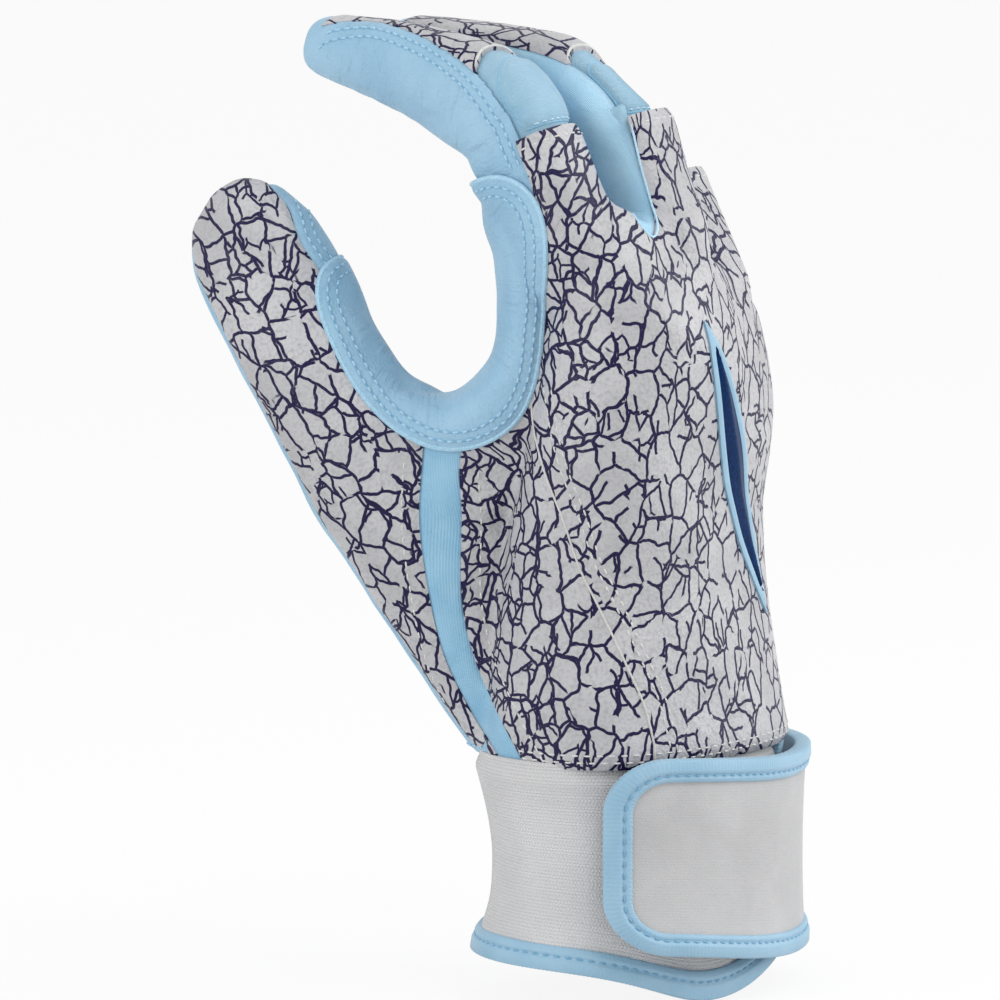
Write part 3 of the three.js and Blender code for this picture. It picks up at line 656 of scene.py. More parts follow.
# Materials
def linear(red, green, blue):
    def channel(value):
        value = value / 255
        return value / 12.92 if value <= 0.04045 else ((value + 0.055) / 1.055) ** 2.4
    return (channel(red), channel(green), channel(blue), 1)


# Print: drawn out up the panel and bent by (scale, reach) noises; lines as cells per millimetre and half
# width. Above EVEN_HEIGHT its place round the hand no longer follows the hand's girth.
PRINT_STRETCH = (1.15, 0.86, 1)
PRINT_WARPS = [(0.17, 2.7), (0.4, 1.2)]
PRINT_STEP = 0.1
COARSE_LINES = (0.15, 0.355)
FINE_LINES = (0.155, 0.325)
FINEST_LINES = (0.23, 0.26)
EVEN_HEIGHT = 116


class Nodes:
    """Small helper that adds linked nodes to a tree."""

    def __init__(self, tree):
        self.tree = tree

    def node(self, kind, links=None, **settings):
        node = self.tree.nodes.new("ShaderNode" + kind)
        for key, value in settings.items():
            if key in node.inputs:
                node.inputs[key].default_value = value
            else:
                setattr(node, key, value)
        for socket, source in (links or {}).items():
            self.link(source, node.inputs[socket])
        return node

    def link(self, source, target):
        self.tree.links.new(source if isinstance(source, bpy.types.NodeSocket) else source.outputs[0], target)

    def math(self, operation, first, second=0.0):
        node = self.node("Math", operation=operation)
        for socket, value in zip(node.inputs, (first, second)):
            if isinstance(value, (int, float)):
                socket.default_value = value
            else:
                self.link(value, socket)
        return node


class Look(Nodes):
    """Nodes of one material."""

    def __init__(self, name, roughness, sheen=0.0, specular=0.5):
        self.material = bpy.data.materials.new(name)
        self.material.use_nodes = True
        super().__init__(self.material.node_tree)
        self.shader = self.tree.nodes["Principled BSDF"]
        self.shader.inputs["Roughness"].default_value = roughness
        self.shader.inputs["Sheen Weight"].default_value = sheen
        self.shader.inputs["Sheen Roughness"].default_value = 0.4
        self.shader.inputs["Specular IOR Level"].default_value = specular

    def stretched(self, vector, scale):
        return self.node("Mapping", {"Vector": vector}, Scale=scale)

    def place(self):
        """Place in the frame in millimetres."""
        return self.stretched(self.node("TexCoord").outputs["Object"], (1000, 1000, 1000))

    def surface(self):
        """Place on the surface in millimetres, from the piece's own coordinates."""
        return self.stretched(self.node("UVMap", uv_map="surface"), (UV_UNIT, UV_UNIT, 1))

    def ramp(self, value, low, high, start=0.0, end=1.0):
        limits = {"From Min": low, "From Max": high, "To Min": start, "To Max": end}
        return self.node("MapRange", {"Value": value}, interpolation_type="SMOOTHSTEP", **limits)

    def mix(self, share, first, second):
        node = self.node("Mix", {"Factor": share}, data_type="RGBA")
        colour_inputs = [s for s in node.inputs if s.type == "RGBA"]
        for socket, value in zip(colour_inputs, (first, second)):
            if isinstance(value, tuple):
                socket.default_value = value
            else:
                self.link(value, socket)
        return next(s for s in node.outputs if s.type == "RGBA")

    def noise(self, vector, scale, detail=3.0):
        return self.node("TexNoise", {"Vector": vector}, Scale=scale, Detail=detail)

    def patchy(self, vector, scale, dark, light, detail=3.0):
        """Colour that wanders between two tones."""
        return self.mix(self.ramp(self.noise(vector, scale, detail), 0.3, 0.7), linear(*dark), linear(*light))

    def waves(self, vector, direction, scale, **settings):
        return self.node("TexWave", {"Vector": vector}, wave_type="BANDS", bands_direction=direction,
                         wave_profile="SIN", Scale=scale, **settings)

    def bump(self, *layers):
        """Bumps stacked on each other, each (height, depth in millimetres)."""
        below = None
        for height, depth in layers:
            node = self.node("Bump", {"Height": height}, Distance=depth * MM, Strength=1)
            if below:
                self.link(below, node.inputs["Normal"])
            below = node
        self.link(below, self.shader.inputs["Normal"])

    def colour(self, source):
        self.link(source, self.shader.inputs["Base Color"])


def crackle_leather():
    look = Look("printed_leather", 0.42, specular=0.22)
    place = look.surface()

    def moved(vector, step):
        node = look.node("VectorMath", {0: vector}, operation="ADD")
        node.inputs[1].default_value = step
        return node

    def scaled(vector, factor):
        node = look.node("VectorMath", {0: vector}, operation="SCALE")
        node.inputs["Scale"].default_value = factor
        return node

    def sum_of(first, second):
        return look.node("VectorMath", {0: first, 1: second}, operation="ADD")

    def warped(spot):
        """Place bent by slow and quick noise, drawn out up the panel."""
        field = look.stretched(spot, PRINT_STRETCH)
        for scale, reach in PRINT_WARPS:
            wobble = moved(look.noise(spot, scale, 1).outputs["Color"], (-0.5, -0.5, -0.5))
            field = sum_of(field, scaled(wobble, reach))
        return field

    def cracks(fields, scale, half_width):
        """Lines of even width: the distance to the cell's edge over that distance's own slope."""
        kind = dict(voronoi_dimensions="2D", feature="DISTANCE_TO_EDGE")
        gaps = [look.node("TexVoronoi", {"Vector": field}, **kind, Scale=scale) for field in fields]
        slopes = [look.math("DIVIDE", look.math("SUBTRACT", gap, gaps[0]), PRINT_STEP) for gap in gaps[1:]]
        squares = [look.math("MULTIPLY", slope, slope) for slope in slopes]
        steep = look.math("SQRT", look.math("ADD", *squares))
        away = look.math("DIVIDE", gaps[0], look.math("MAXIMUM", steep, 0.3 * scale))
        return look.ramp(away, half_width * 1.2, half_width * 0.8)

    fields = [warped(spot) for spot in (
        place, moved(place, (PRINT_STEP, 0, 0)), moved(place, (0, PRINT_STEP, 0)))]
    gaps = look.ramp(look.noise(place, 0.24, 0), 0.34, 0.36)
    coarse = look.math("MULTIPLY", cracks(fields, *COARSE_LINES), gaps)
    tiles = look.node("TexVoronoi", {"Vector": fields[0]}, voronoi_dimensions="2D", Scale=COARSE_LINES[0])
    shift = scaled(tiles.outputs["Color"], 90)
    inner = [sum_of(field, shift) for field in fields]
    fine = cracks(inner, *FINE_LINES)
    finest = cracks([sum_of(field, shift) for field in inner], *FINEST_LINES)
    dense = look.node("Attribute", attribute_name="dense").outputs["Fac"]
    mask = look.noise(place, 0.13, 0)
    some = look.ramp(look.math("ADD", mask, look.math("MULTIPLY", dense, 0.3)), 0.47, 0.49)
    few = look.ramp(look.math("ADD", mask, look.math("MULTIPLY", dense, 0.25)), 0.72, 0.74)
    lines = look.math("MAXIMUM", coarse, look.math("MULTIPLY", fine, some))
    lines = look.math("MAXIMUM", lines, look.math("MULTIPLY", finest, few))
    base = look.patchy(place, 0.05, (170, 170, 173), (188, 188, 191))
    grain = look.node("TexVoronoi", {"Vector": look.place()}, feature="SMOOTH_F1", Scale=1.5)
    pores = look.noise(look.place(), 2.6, 3)
    folds = look.noise(look.place(), 0.16, 2)
    base = look.mix(look.ramp(grain, 0.35, 0.75, 0, 0.5), base, linear(150, 150, 154))
    look.colour(look.mix(lines, base, linear(19, 12, 58)))
    look.bump((folds, 0.8), (grain, 0.16), (pores, 0.07), (look.math("SUBTRACT", 1, lines), 0.05))
    look.link(look.ramp(pores, 0.2, 0.8, 0.32, 0.46), look.shader.inputs["Roughness"])
    return look.material


def palm_leather():
    look = Look("palm_leather", 0.5, sheen=0.15, specular=0.4)
    place = look.place()
    base = look.patchy(place, 0.06, (136, 175, 200), (148, 185, 208))
    grain = look.node("TexVoronoi", {"Vector": place}, feature="SMOOTH_F1", Scale=1.7)
    pores = look.noise(place, 2.5, 4)
    creases = look.noise(look.stretched(look.surface(), (0.1, 0.62, 1)), 1, 2)
    some = look.ramp(look.noise(place, 0.11, 1), 0.4, 0.62)
    wrinkles = look.math("MULTIPLY", creases, some)
    shade = look.math("MULTIPLY", look.ramp(creases, 0.42, 0.28, 0, 0.6), some)
    look.colour(look.mix(shade, base, linear(125, 165, 191)))
    look.bump((wrinkles, 0.7), (grain, 0.14), (pores, 0.1))
    look.link(look.ramp(pores, 0.2, 0.8, 0.45, 0.6), look.shader.inputs["Roughness"])
    return look.material


def stretch_cloth(name, dark, light, ribs):
    look = Look(name, 0.75, sheen=0.35, specular=0.25)
    surface, place = look.surface(), look.place()
    wave = look.waves(surface, "X", ribs, Distortion=0.6, Detail=1)
    weft = look.waves(surface, "Y", ribs * 0.8)
    base = look.patchy(place, 0.12, dark, light)
    # The troughs of the ribs are mixed towards a darker tone: painted shade in the ribs.
    furrow_shade = linear(*(0.88 * c for c in dark))
    look.colour(look.mix(look.ramp(wave, 0.0, 0.45, 0.16, 0), base, furrow_shade))
    look.bump((look.noise(place, 0.25, 2), 0.3), (wave, 0.06), (weft, 0.04), (look.noise(place, 2.2), 0.05))
    return look.material


def grey_knit(name, tint, knit):
    look = Look(name, 0.85, sheen=0.25, specular=0.2)
    surface, place = look.surface(), look.place()
    slant = look.node("CombineXYZ", {"X": look.math("MULTIPLY", look.waves(surface, "Y", 0.2), 1.2)})
    shifted = look.node("VectorMath", {0: surface, 1: slant}, operation="ADD")
    wale = look.waves(shifted, "X", 0.42)
    loops = look.waves(surface, "Y", 0.5)
    base = look.patchy(place, 0.05, (tint - 5, tint - 5, tint - 4), (tint + 5, tint + 5, tint + 6))
    # The grooves between the wales are mixed towards a darker grey: painted shade in the knit.
    furrow_shade = linear(tint - 30, tint - 30, tint - 28)
    look.colour(look.mix(look.ramp(wale, 0, 0.35, 0.5 * knit, 0), base, furrow_shade))
    look.bump((look.noise(place, 0.1, 2), 0.5), (wale, 0.16 * knit), (loops, 0.1 * knit),
              (look.noise(place, 1.8, 4), 0.07))
    return look.material


def binding_cloth():
    look = Look("binding_tape", 0.55, sheen=0.3, specular=0.35)
    fuzz = look.noise(look.place(), 2.0, 3)
    look.colour(look.patchy(look.place(), 0.1, (136, 174, 197), (146, 181, 203), 2))
    look.bump((fuzz, 0.08))
    return look.material


def thread(name, colour):
    look = Look(name, 0.5, sheen=0.3)
    twist = look.noise(look.place(), 2.4, 2)
    dark = tuple(0.9 * c for c in colour)
    look.colour(look.mix(look.ramp(twist, 0.3, 0.6), linear(*dark), linear(*colour)))
    look.bump((twist, 0.08))
    return look.material


def inlay_film():
    look = Look("inlay_film", 0.4, specular=0.08)
    fine = look.noise(look.place(), 1.2, 3)
    look.colour(look.mix(look.ramp(fine, 0.3, 0.7), linear(0, 30, 68), linear(0, 44, 92)))
    look.bump((fine, 0.04))
    return look.material


def pile_cloth():
    look = Look("fastener_pile", 0.95, sheen=0.4, specular=0.1)
    loops = look.node("TexVoronoi", {"Vector": look.place()}, Scale=1.1)
    look.colour(look.mix(look.ramp(loops, 0.0, 0.7), linear(98, 101, 106), linear(66, 68, 72)))
    look.bump((loops, 0.6))
    return look.material


PRINT = crackle_leather()
LEATHER = palm_leather()
STRETCH = stretch_cloth("stretch_cloth", (131, 178, 207), (146, 189, 215), 1.0)
FLEX = stretch_cloth("flex_cloth", (142, 182, 205), (153, 190, 211), 1.2)
# Satin of the crotches and finger walls, written lighter than the cloth's own colour: painted light against
# the shade deep in the crotches.
SATIN = stretch_cloth("satin_cloth", (165, 210, 236), (177, 218, 241), 1.3)
KNIT = grey_knit("cuff_knit", 203, 0.5)
STRAP_FACE = grey_knit("strap_face", 182, 0.15)
TAPE = binding_cloth()
INLAY = inlay_film()
PILE = pile_cloth()
BLUE_THREAD = thread("blue_thread", (158, 199, 223))
# Dark blue of the welt sunk under the seams on blue leather: painted shade of the stitch groove and holes.
FURROW_SHADE = thread("furrow_shade", (112, 160, 192))
FLEX_THREAD = thread("flex_thread", (180, 217, 238))
FLEX_CREASE = thread("flex_crease", (126, 180, 210))
ROLLED_EDGE = thread("rolled_edge", (158, 198, 221))
PALE_THREAD = thread("pale_thread", (209, 208, 205))
TAPE_THREAD = thread("tape_thread", (114, 166, 198))
# Pale welts on the print: at the knuckle's arch, and along the back's crease, where the pale colour is a
# painted highlight on the fold's ridge.
PALE_WELT = thread("pale_welt", (200, 199, 196))


# Base surfaces
def hand_skin():
    bodies = [
        tube(HAND, None, 2.4, 60, 96),
        tube(THUMB, THUMB_SIDE, 2.3, 60, 64),
        tube(WEB, WEB_SIDE, 2.2, 48, 48),
        *(finger_root(finger, 12) for finger in FINGERS.values()),
    ]
    points, faces = union(bodies)
    points = pulled(smoothed(points, faces, 10))
    away = np.hypot(points @ RIGHT - VALLEY[0], points @ UP - VALLEY[1]) / VALLEY[2]
    share = np.exp(-away ** 2) * smoothstep(2, 10, points @ NEAR)
    points = points + share[:, None] * (smoothed(points, faces, 60) - points)
    skin = Skin(points, faces)
    add_sketch(skin)
    skin.values["facing"] = smoothed((skin.normals @ NEAR)[:, None], faces, 12)[:, 0]
    add_lanes(skin)
    return skin


def add_sketch(skin):
    skin.values["right"] = skin.points @ RIGHT
    skin.values["up"] = skin.points @ UP
    skin.values["near"] = skin.points @ NEAR


def side_of(skin, edge):
    """Signed distance in the sketch, positive on the right of an edge that runs down."""
    line = curve_2d(edge, 200)[::-1]
    slope = np.gradient(line[:, 0], line[:, 1])
    up = skin.values["up"]
    across = skin.values["right"] - np.interp(up, line[:, 1], line[:, 0])
    return across / np.sqrt(1 + np.interp(up, line[:, 1], slope) ** 2)


def polygon_distance(skin, outline):
    """Signed distance in the sketch to a closed outline, positive inside."""
    line = curve_2d([*outline, outline[0]], 160)[:-1]
    place = np.stack([skin.values["right"], skin.values["up"]], 1)
    nearest = np.full(len(place), 1e9)
    inside = np.zeros(len(place), bool)
    for a, b in zip(line, np.roll(line, -1, axis=0)):
        run = b - a
        share = np.clip(((place - a) @ run) / (run @ run), 0, 1)
        nearest = np.minimum(nearest, np.linalg.norm(place - a - share[:, None] * run, axis=1))
        crosses = (a[1] > place[:, 1]) != (b[1] > place[:, 1])
        reach = a[0] + (place[:, 1] - a[1]) * run[0] / (run[1] if run[1] else 1e-9)
        inside ^= crosses & (place[:, 0] < reach)
    return np.where(inside, nearest, -nearest)


def add_lanes(skin):
    """For each point of the hand: run and level in the nearest finger's root, and the middle depth."""
    fingers = list(FINGERS.values())
    x, y, z = skin.points.T
    centres = np.array([f["y"] for f in fingers])
    run, level, middle, weight = (np.zeros((len(x), len(fingers))) for _ in range(4))
    for i, f in enumerate(fingers):
        out, along = finger_axes(f["lean"])
        rel = np.stack([x - f["hinge"][0], z - f["hinge"][1]], 1)
        run[:, i] = rel @ along[[0, 2]]
        level[:, i] = (rel @ out[[0, 2]] - PIVOT_OFFSET) / f["thick"]
        core = PIVOT_OFFSET + f["thick"] / 2
        steps = (z - f["hinge"][1] - core * out[2]) / along[2]
        middle[:, i] = f["hinge"][0] + core * out[0] + steps * along[0]
        top = f["hinge"][1]
        weight[:, i] = smoothstep(top - 0.95 * ROOT_LENGTH, top - 0.5 * ROOT_LENGTH, z)
    edges = (centres[1:] + centres[:-1]) / 2
    lane = np.searchsorted(edges, y)
    row = np.arange(len(x))
    skin.values["run"] = run[row, lane]
    skin.values["knuckle"] = -np.array([f["seam"] for f in fingers])[lane] - run[row, lane]
    skin.values["level"] = level[row, lane]
    skin.values["lane"] = lane.astype(float)
    first = np.clip(np.searchsorted(centres, y) - 1, 0, len(fingers) - 2)
    mix = np.clip((y - centres[first]) / (centres[first + 1] - centres[first]), 0, 1)
    lane_middle = middle[row, first] * (1 - mix) + middle[row, first + 1] * mix
    lane_weight = weight[row, first] * (1 - mix) + weight[row, first + 1] * mix
    stations = np.array(HAND, float)
    at = [np.interp(z, stations[:, 2], stations[:, k]) for k in (0, 1, 6)]
    hand_middle = at[0] - np.tan(np.radians(at[2])) * (y - at[1])
    skin.values["depth"] = x - (hand_middle * (1 - lane_weight) + lane_middle * lane_weight)
    skin.values["u"] = np.arctan2(y, x - HAND_AXIS) * 32
    skin.values["v"] = z.copy()


def back_uv(skin):
    """Place round the hand by the length of its surface, so that the print keeps its size."""
    x, y, z = skin.points.T
    turn, far = np.arctan2(y, x - HAND_AXIS), np.hypot(x - HAND_AXIS, y)
    turns = np.radians(np.arange(-178, 179, 2))
    heights = np.arange(z.min(), EVEN_HEIGHT + 4, 4)
    column = np.clip((turn - turns[0]) / (turns[1] - turns[0]), 0, len(turns) - 1.001)
    row = np.clip((np.minimum(z, EVEN_HEIGHT) - heights[0]) / 4, 0, len(heights) - 1.001)
    form = np.zeros((len(heights), len(turns)))
    for k in range(len(heights)):
        near = np.abs(row - k) < 1
        bins = np.round(column[near]).astype(int)
        count = np.bincount(bins, minlength=len(turns))
        total = np.bincount(bins, far[near], minlength=len(turns))
        form[k] = np.interp(turns, turns[count > 0], total[count > 0] / count[count > 0])
    steps = np.hypot(0.5 * (form[:, 1:] + form[:, :-1]) * (turns[1] - turns[0]), np.diff(form, axis=1))
    run = np.concatenate([np.zeros((len(heights), 1)), np.cumsum(steps, 1)], 1)
    run = run - run[:, [len(turns) // 2]]
    i, j = row.astype(int), column.astype(int)
    s, t = row - i, column - j
    low = run[i, j] * (1 - t) + run[i, j + 1] * t
    skin.values["u"] = low * (1 - s) + s * (run[i + 1, j] * (1 - t) + run[i + 1, j + 1] * t)


def thumb_uv(skin):
    low, high = np.array(THUMB[1][:3], float), np.array(THUMB[5][:3], float)
    along = unit(high - low)
    side = unit(np.array(THUMB_SIDE) - along * (along @ np.array(THUMB_SIDE)))
    rel = skin.points - low
    sizes = np.array(THUMB, float)
    at = (sizes[:, :3] - low) @ along
    run = rel @ along
    drift = rel @ side - np.interp(run, at, (sizes[:, :3] - low) @ side)
    half = np.interp(run, at, sizes[:, 3]) + 1.5
    skin.values["u"] = half * np.arcsin(np.clip(drift / half, -1, 1)) + 70
    bend = at[-1] - 9
    skin.values["v"] = np.where(run < bend, run, bend + 11 * np.arcsin(np.clip((run - bend) / 11, 0, 1)))


def finger_skin(finger):
    """Whole finger from inside the hand to its tip, with s along it, q from palm to back, a across."""
    sides = 96
    lean, bend, reach = finger["lean"], finger["bend"], finger["reach"]
    core = PIVOT_OFFSET + finger["thick"] / 2
    knee = math.radians(bend) * core
    rounding = finger["thick"] * TIP_TAPER * 0.5
    straight = reach - rounding
    rings, path = [], []
    for run in np.linspace(-34, 0, 43)[:-1]:
        scale = np.interp(run, [-ROOT_LENGTH, -0.6 * ROOT_LENGTH], [ROOT_TAPER, 1])
        rings.append(finger_ring(finger, lean, run, 0, scale, sides))
        path.append(run)
    for share in np.linspace(0, 1, 41)[:-1]:
        rings.append(finger_ring(finger, lean + bend * share, 0, 0, 1, sides))
        path.append(knee * share)
    for run in np.linspace(0, straight, 44):
        sink = finger["droop"] * (run / reach) ** 2
        rings.append(finger_ring(finger, lean + bend, run, sink, 1 + (TIP_TAPER - 1) * run / straight, sides))
        path.append(knee + run)
    for turn_by in np.radians(np.linspace(6, 88, 15)):
        run = straight + rounding * math.sin(turn_by)
        sink = finger["droop"] * (run / reach) ** 2
        rings.append(finger_ring(finger, lean + bend, run, sink, TIP_TAPER * math.cos(turn_by), sides))
        path.append(knee + straight + rounding * turn_by)
    points, faces = loft(rings)
    angle = np.tile(np.linspace(0, 2 * math.pi, sides, endpoint=False), len(rings))
    level = 0.5 + 0.5 * np.sign(np.sin(angle)) * np.abs(np.sin(angle)) ** (2 / FINGER_SQUARE)
    across = np.sign(np.cos(angle)) * np.abs(np.cos(angle)) ** (2 / FINGER_SQUARE)
    s = np.repeat(path, sides)
    values = {
        "s": np.append(s, [path[0], path[-1]]),
        "q": np.append(level, [0.5, 0.5]),
        "a": np.append(across, [0, 0]),
    }
    points = pulled(smoothed(points, faces, 4))
    skin = Skin(points, faces, values)
    s = values["s"]
    crest = np.exp(-(((s - knee / 2) / (0.7 * knee)) ** 2)) * smoothstep(0.5, 0.9, values["q"])
    skin = skin.raised(-0.7 * smoothstep(6, -4, s) - finger["flat"] * crest)
    skin.values["u"] = np.append(np.arctan2(np.cos(angle), np.sin(angle)) * finger["wide"], [0, 0])
    skin.values["palm_u"] = np.append(np.arctan2(np.cos(angle), -np.sin(angle)) * finger["wide"], [0, 0])
    skin.values["v"] = skin.values["s"]
    add_sketch(skin)
    return skin, knee, knee + straight + rounding


def folds(skin, size, seed, stretch=(1, 1, 1)):
    """Gentle uneven folds: a sum of slanted waves with fixed phases, between -1 and 1."""
    generator = np.random.default_rng(seed)
    total = np.zeros(len(skin.points))
    for _ in range(14):
        way = unit(generator.normal(size=3) * np.array(stretch))
        wave = 2 * math.pi / (size * generator.uniform(0.7, 1.6))
        total += np.sin(skin.points @ way * wave + generator.uniform(0, 2 * math.pi))
    return total / 14


def sew(name, lines, body, bend):
    """Two tone seam on blue leather: threads over a sunk dark welt, its colour painted shade."""
    # The sunk welt's dark colour shows between the threads as painted shade in the stitch groove.
    attach(bead(f"{name}_furrow", lines, 0.3, -0.14, FURROW_SHADE), body, bend=bend)
    attach(stitches(f"{name}_stitches", lines, BLUE_THREAD), body, bend=bend)


def creases(skin):
    """Depth of the soft creases that a bent palm keeps, in lines across it."""
    depth = np.zeros(len(skin.points))
    place = skin.points[:, 1:]
    for line, deep in PALM_CREASES:
        curve = curve_2d(line, 60)
        away = np.min([np.hypot(*(place - mark).T) for mark in curve], axis=0)
        depth = np.maximum(depth, deep * np.exp(-((away / 1.5) ** 2)))
    return depth * (skin.points[:, 0] < 0)


# Lines across the joints that soft pieces lie over
def finger_bend_line(finger, half):
    _, along = finger_axes(finger["lean"] + finger["bend"] / 2)
    hinge = hinge_of(finger)
    return hinge - along * half, hinge + along * half


thumb_points, thumb_runs = centre_line([s[:3] for s in THUMB], len(THUMB))
THUMB_JOINT, THUMB_RUN = thumb_points[THUMB_KNUCKLE], thumb_runs[THUMB_KNUCKLE]
THUMB_BEND = (THUMB_JOINT - THUMB_RUN * 5, THUMB_JOINT + THUMB_RUN * 7)


def add_hand_seams(hand):
    """Fields of the hand's panels, each positive inside its panel or on the right of its seam."""
    values = hand.values
    near, up, facing = values["near"], values["up"], values["facing"]
    across = hand.points[:, 1]
    index, middle, ring, little = (finger["y"] for finger in FINGERS.values())
    strip_top = STRIP_EDGE[0][1]
    back_side, strip_side = side_of(hand, BACK_EDGE), side_of(hand, STRIP_EDGE)
    thumb_side = np.where(up > strip_top, side_of(hand, THUMB_EDGE), strip_side)

    wall = np.minimum(BACK_SEAM + 0.05 - values["level"], values["level"] - PALM_SEAM) * WALL_SCALE
    inner = (across > index) & (across < little)
    gaps = np.searchsorted([middle, ring], across)
    wall = np.where(inner, np.minimum(wall, values["run"] + np.array(CROTCH_REACH)[gaps]), OUTSIDE)
    near_wall, far_wall = (polygon_distance(hand, edge) for edge in (WEDGE_EDGE, FAR_WEDGE_EDGE))
    beside = (across > index - 4) & (across < middle + 6) & (near > 0) & (facing > -0.2)
    wedge = np.where(beside, np.where(values["lane"] > 0, far_wall, near_wall), OUTSIDE)
    values["wall"] = np.where((gaps == 0) & (near > 0) & (facing > 0.05), np.minimum(wall, wedge), wall)

    inside = smoothstep(index, index + 10, across)
    values["back"] = np.minimum(back_side, np.maximum(values["depth"], near - BACK_DEPTH - 60 * inside))
    values["strip"] = np.minimum.reduce([strip_side, -back_side, near - STRIP_DEPTH, strip_top + 2 - up])
    turned = facing - THUMB_FACING + 0.55 * smoothstep(138, 163, up)
    values["thumb"] = np.minimum(-thumb_side, 12 * turned)
    values["patch"] = polygon_distance(hand, PATCH_EDGE)
    values["foot"] = hand.points[:, 2] - HAND_FOOT
    values["crease"] = side_of(hand, CREASE_LINE)
    values.update(back_side=back_side, thumb_side=thumb_side, wedge=wedge)


def build_back(hand):
    values = hand.values
    skin = cut(hand, np.minimum.reduce(
        [values["back"], -values["wall"], values["foot"], values["knuckle"], -values["wedge"]]))
    back_uv(skin)
    flow = skin.values
    flow["dense"] = np.exp(-((flow["back_side"] / 17) ** 2)) * (flow["near"] > 0)
    skin = skin.raised(0.25 + 0.25 * folds(skin, 16, 3))
    piece, skin = shell("back_panel_leather", skin, LEATHER_WALL, PRINT)
    attach(piece, "hand", "back_panel", slot="printed_leather")
    return skin


def build_side_strip(hand):
    skin = cut(hand, np.minimum(hand.values["strip"], hand.values["foot"]) + 0.5).raised(-0.35)
    piece, _ = shell("side_stretch_strip", skin, CLOTH_WALL, STRETCH)
    attach(piece, "hand", "stretch_strip", slot="stretch_cloth")


def build_thumb_back(hand):
    skin = cut(hand, np.minimum(hand.values["thumb"], hand.values["foot"]))
    thumb_uv(skin)
    skin.values["dense"] = 0.05 + 0.5 * np.exp(-((skin.values["thumb_side"] / 11) ** 2))
    skin = skin.raised(0.2 + 0.2 * folds(skin, 14, 5))
    piece, skin = shell("thumb_back_leather", skin, LEATHER_WALL, PRINT)
    attach(piece, "thumb", "thumb_back", "thumb_tip_back", slot="printed_leather", bend=THUMB_BEND)
    return skin


def build_palm(hand):
    values = hand.values
    fingers = hand.points[:, 0] > THUMB_GAP
    under_index = fingers & (hand.points[:, 1] < FINGERS["index"]["y"] + 3)
    cover = np.minimum(values["up"] - PATCH_ARCH, values["near"] - PATCH_DEPTH)
    cover = np.where(under_index, cover, OUTSIDE)
    crease = np.where(fingers, -0.6 - values["run"], -OUTSIDE)
    others = [-values[name] for name in ("back", "strip", "thumb", "wall", "wedge")]
    skin = cut(hand, np.minimum.reduce([*others, values["foot"], crease, -cover]))
    skin.values["u"], skin.values["v"] = skin.points[:, 1], skin.points[:, 2]
    skin = skin.raised(0.35 * folds(skin, 11, 7) - creases(skin))
    piece, skin = shell("palm_leather", skin, LEATHER_WALL, LEATHER)
    attach(piece, "thumb", "palm_panel", "thumb_tip_palm", slot="palm_leather", bend=THUMB_BEND)
    flow = skin.values
    far = (skin.points[:, 1] > 20) & (flow["run"] < -3)
    rows = levels(skin, flow["foot"], FOOT_ROWS[0]) + levels(skin, flow["back"], -1.9, far)
    sew("palm_edge", rows, "thumb", THUMB_BEND)
    side = (flow["up"] > 144) & (flow["up"] < 160) & (flow["facing"] > 0.1)
    side &= skin.points[:, 0] < THUMB_GAP
    sew("thumb_side", rows_at(skin, flow["thumb_side"], THUMB_ROWS, side), "thumb", THUMB_BEND)


def build_web_patch(hand):
    skin = cut(hand, np.minimum(hand.values["patch"], hand.values["near"] - PATCH_DEPTH))
    flow = skin.values
    around = np.arctan2(flow["up"] - PATCH_MIDDLE[1], flow["right"] - PATCH_MIDDLE[0])
    flow["u"], flow["v"] = flow["patch"].copy(), 24 * np.unwrap(around)
    crumple = folds(skin, 7, 11) * smoothstep(2, 8, flow["patch"])
    skin = skin.raised(PATCH_WALL + 0.3 * crumple)
    piece, skin = shell("thumb_web_patch", skin, PATCH_WALL, LEATHER, dip=0.55, dip_width=1.2)
    attach(piece, "thumb", "web_patch", slot="palm_leather", bend=THUMB_BEND)
    flow = skin.values
    piece = bead("thumb_web_edge", levels(skin, flow["patch"], 0.35), 0.62, -0.35, ROLLED_EDGE)
    attach(piece, "thumb", slot="palm_leather", bend=THUMB_BEND)
    rows = rows_at(skin, flow["patch"], PATCH_ROWS, flow["facing"] > 0.18)
    sew("thumb_web", rows, "thumb", THUMB_BEND)


def build_crotches(hand):
    values = hand.values
    across = hand.points[:, 1]
    for i, (first, second) in enumerate(zip(NAMES, NAMES[1:])):
        inside = (across > FINGERS[first]["y"]) & (across < FINGERS[second]["y"])
        between = np.where(inside & np.isin(values["lane"], (i, i + 1)), values["wall"], OUTSIDE)
        if i == 0:
            between = np.maximum(between, values["wedge"])
        skin = cut(hand, np.minimum(between + 0.8, CROTCH_TOP[i] - values["run"]))
        skin = skin.raised(-0.5 - 0.4 * smoothstep(0.5, 3, skin.values["wedge"])
                           - 1.6 * smoothstep(-9, 0, skin.values["run"]))
        piece, _ = shell(f"crotch_{first}_{second}", skin, SATIN_WALL, SATIN)
        attach(piece, "hand", f"fourchette_{first}_{second}", slot="stretch_cloth")


def leaf(skin, shrink):
    """Field of the slim inset on the back of the hand, positive inside it, and the distance from its
    spine as a share of its half width."""
    lean = math.radians(INSERT_LEAN)
    across, up = skin.points[:, 1] - INSERT_CENTRE[0], skin.points[:, 2] - INSERT_CENTRE[1]
    along = up * math.cos(lean) - across * math.sin(lean)
    side = np.abs(across * math.cos(lean) + up * math.sin(lean))
    share = np.clip(along / (INSERT_LENGTH - 6 * shrink) + 0.5, 0, 1)
    half = 2 * (INSERT_WIDTH - 2 * shrink) * share * (1 - share)
    return np.where(skin.points[:, 0] > 0, half - side - 0.02, OUTSIDE), side / np.maximum(half, 0.1)


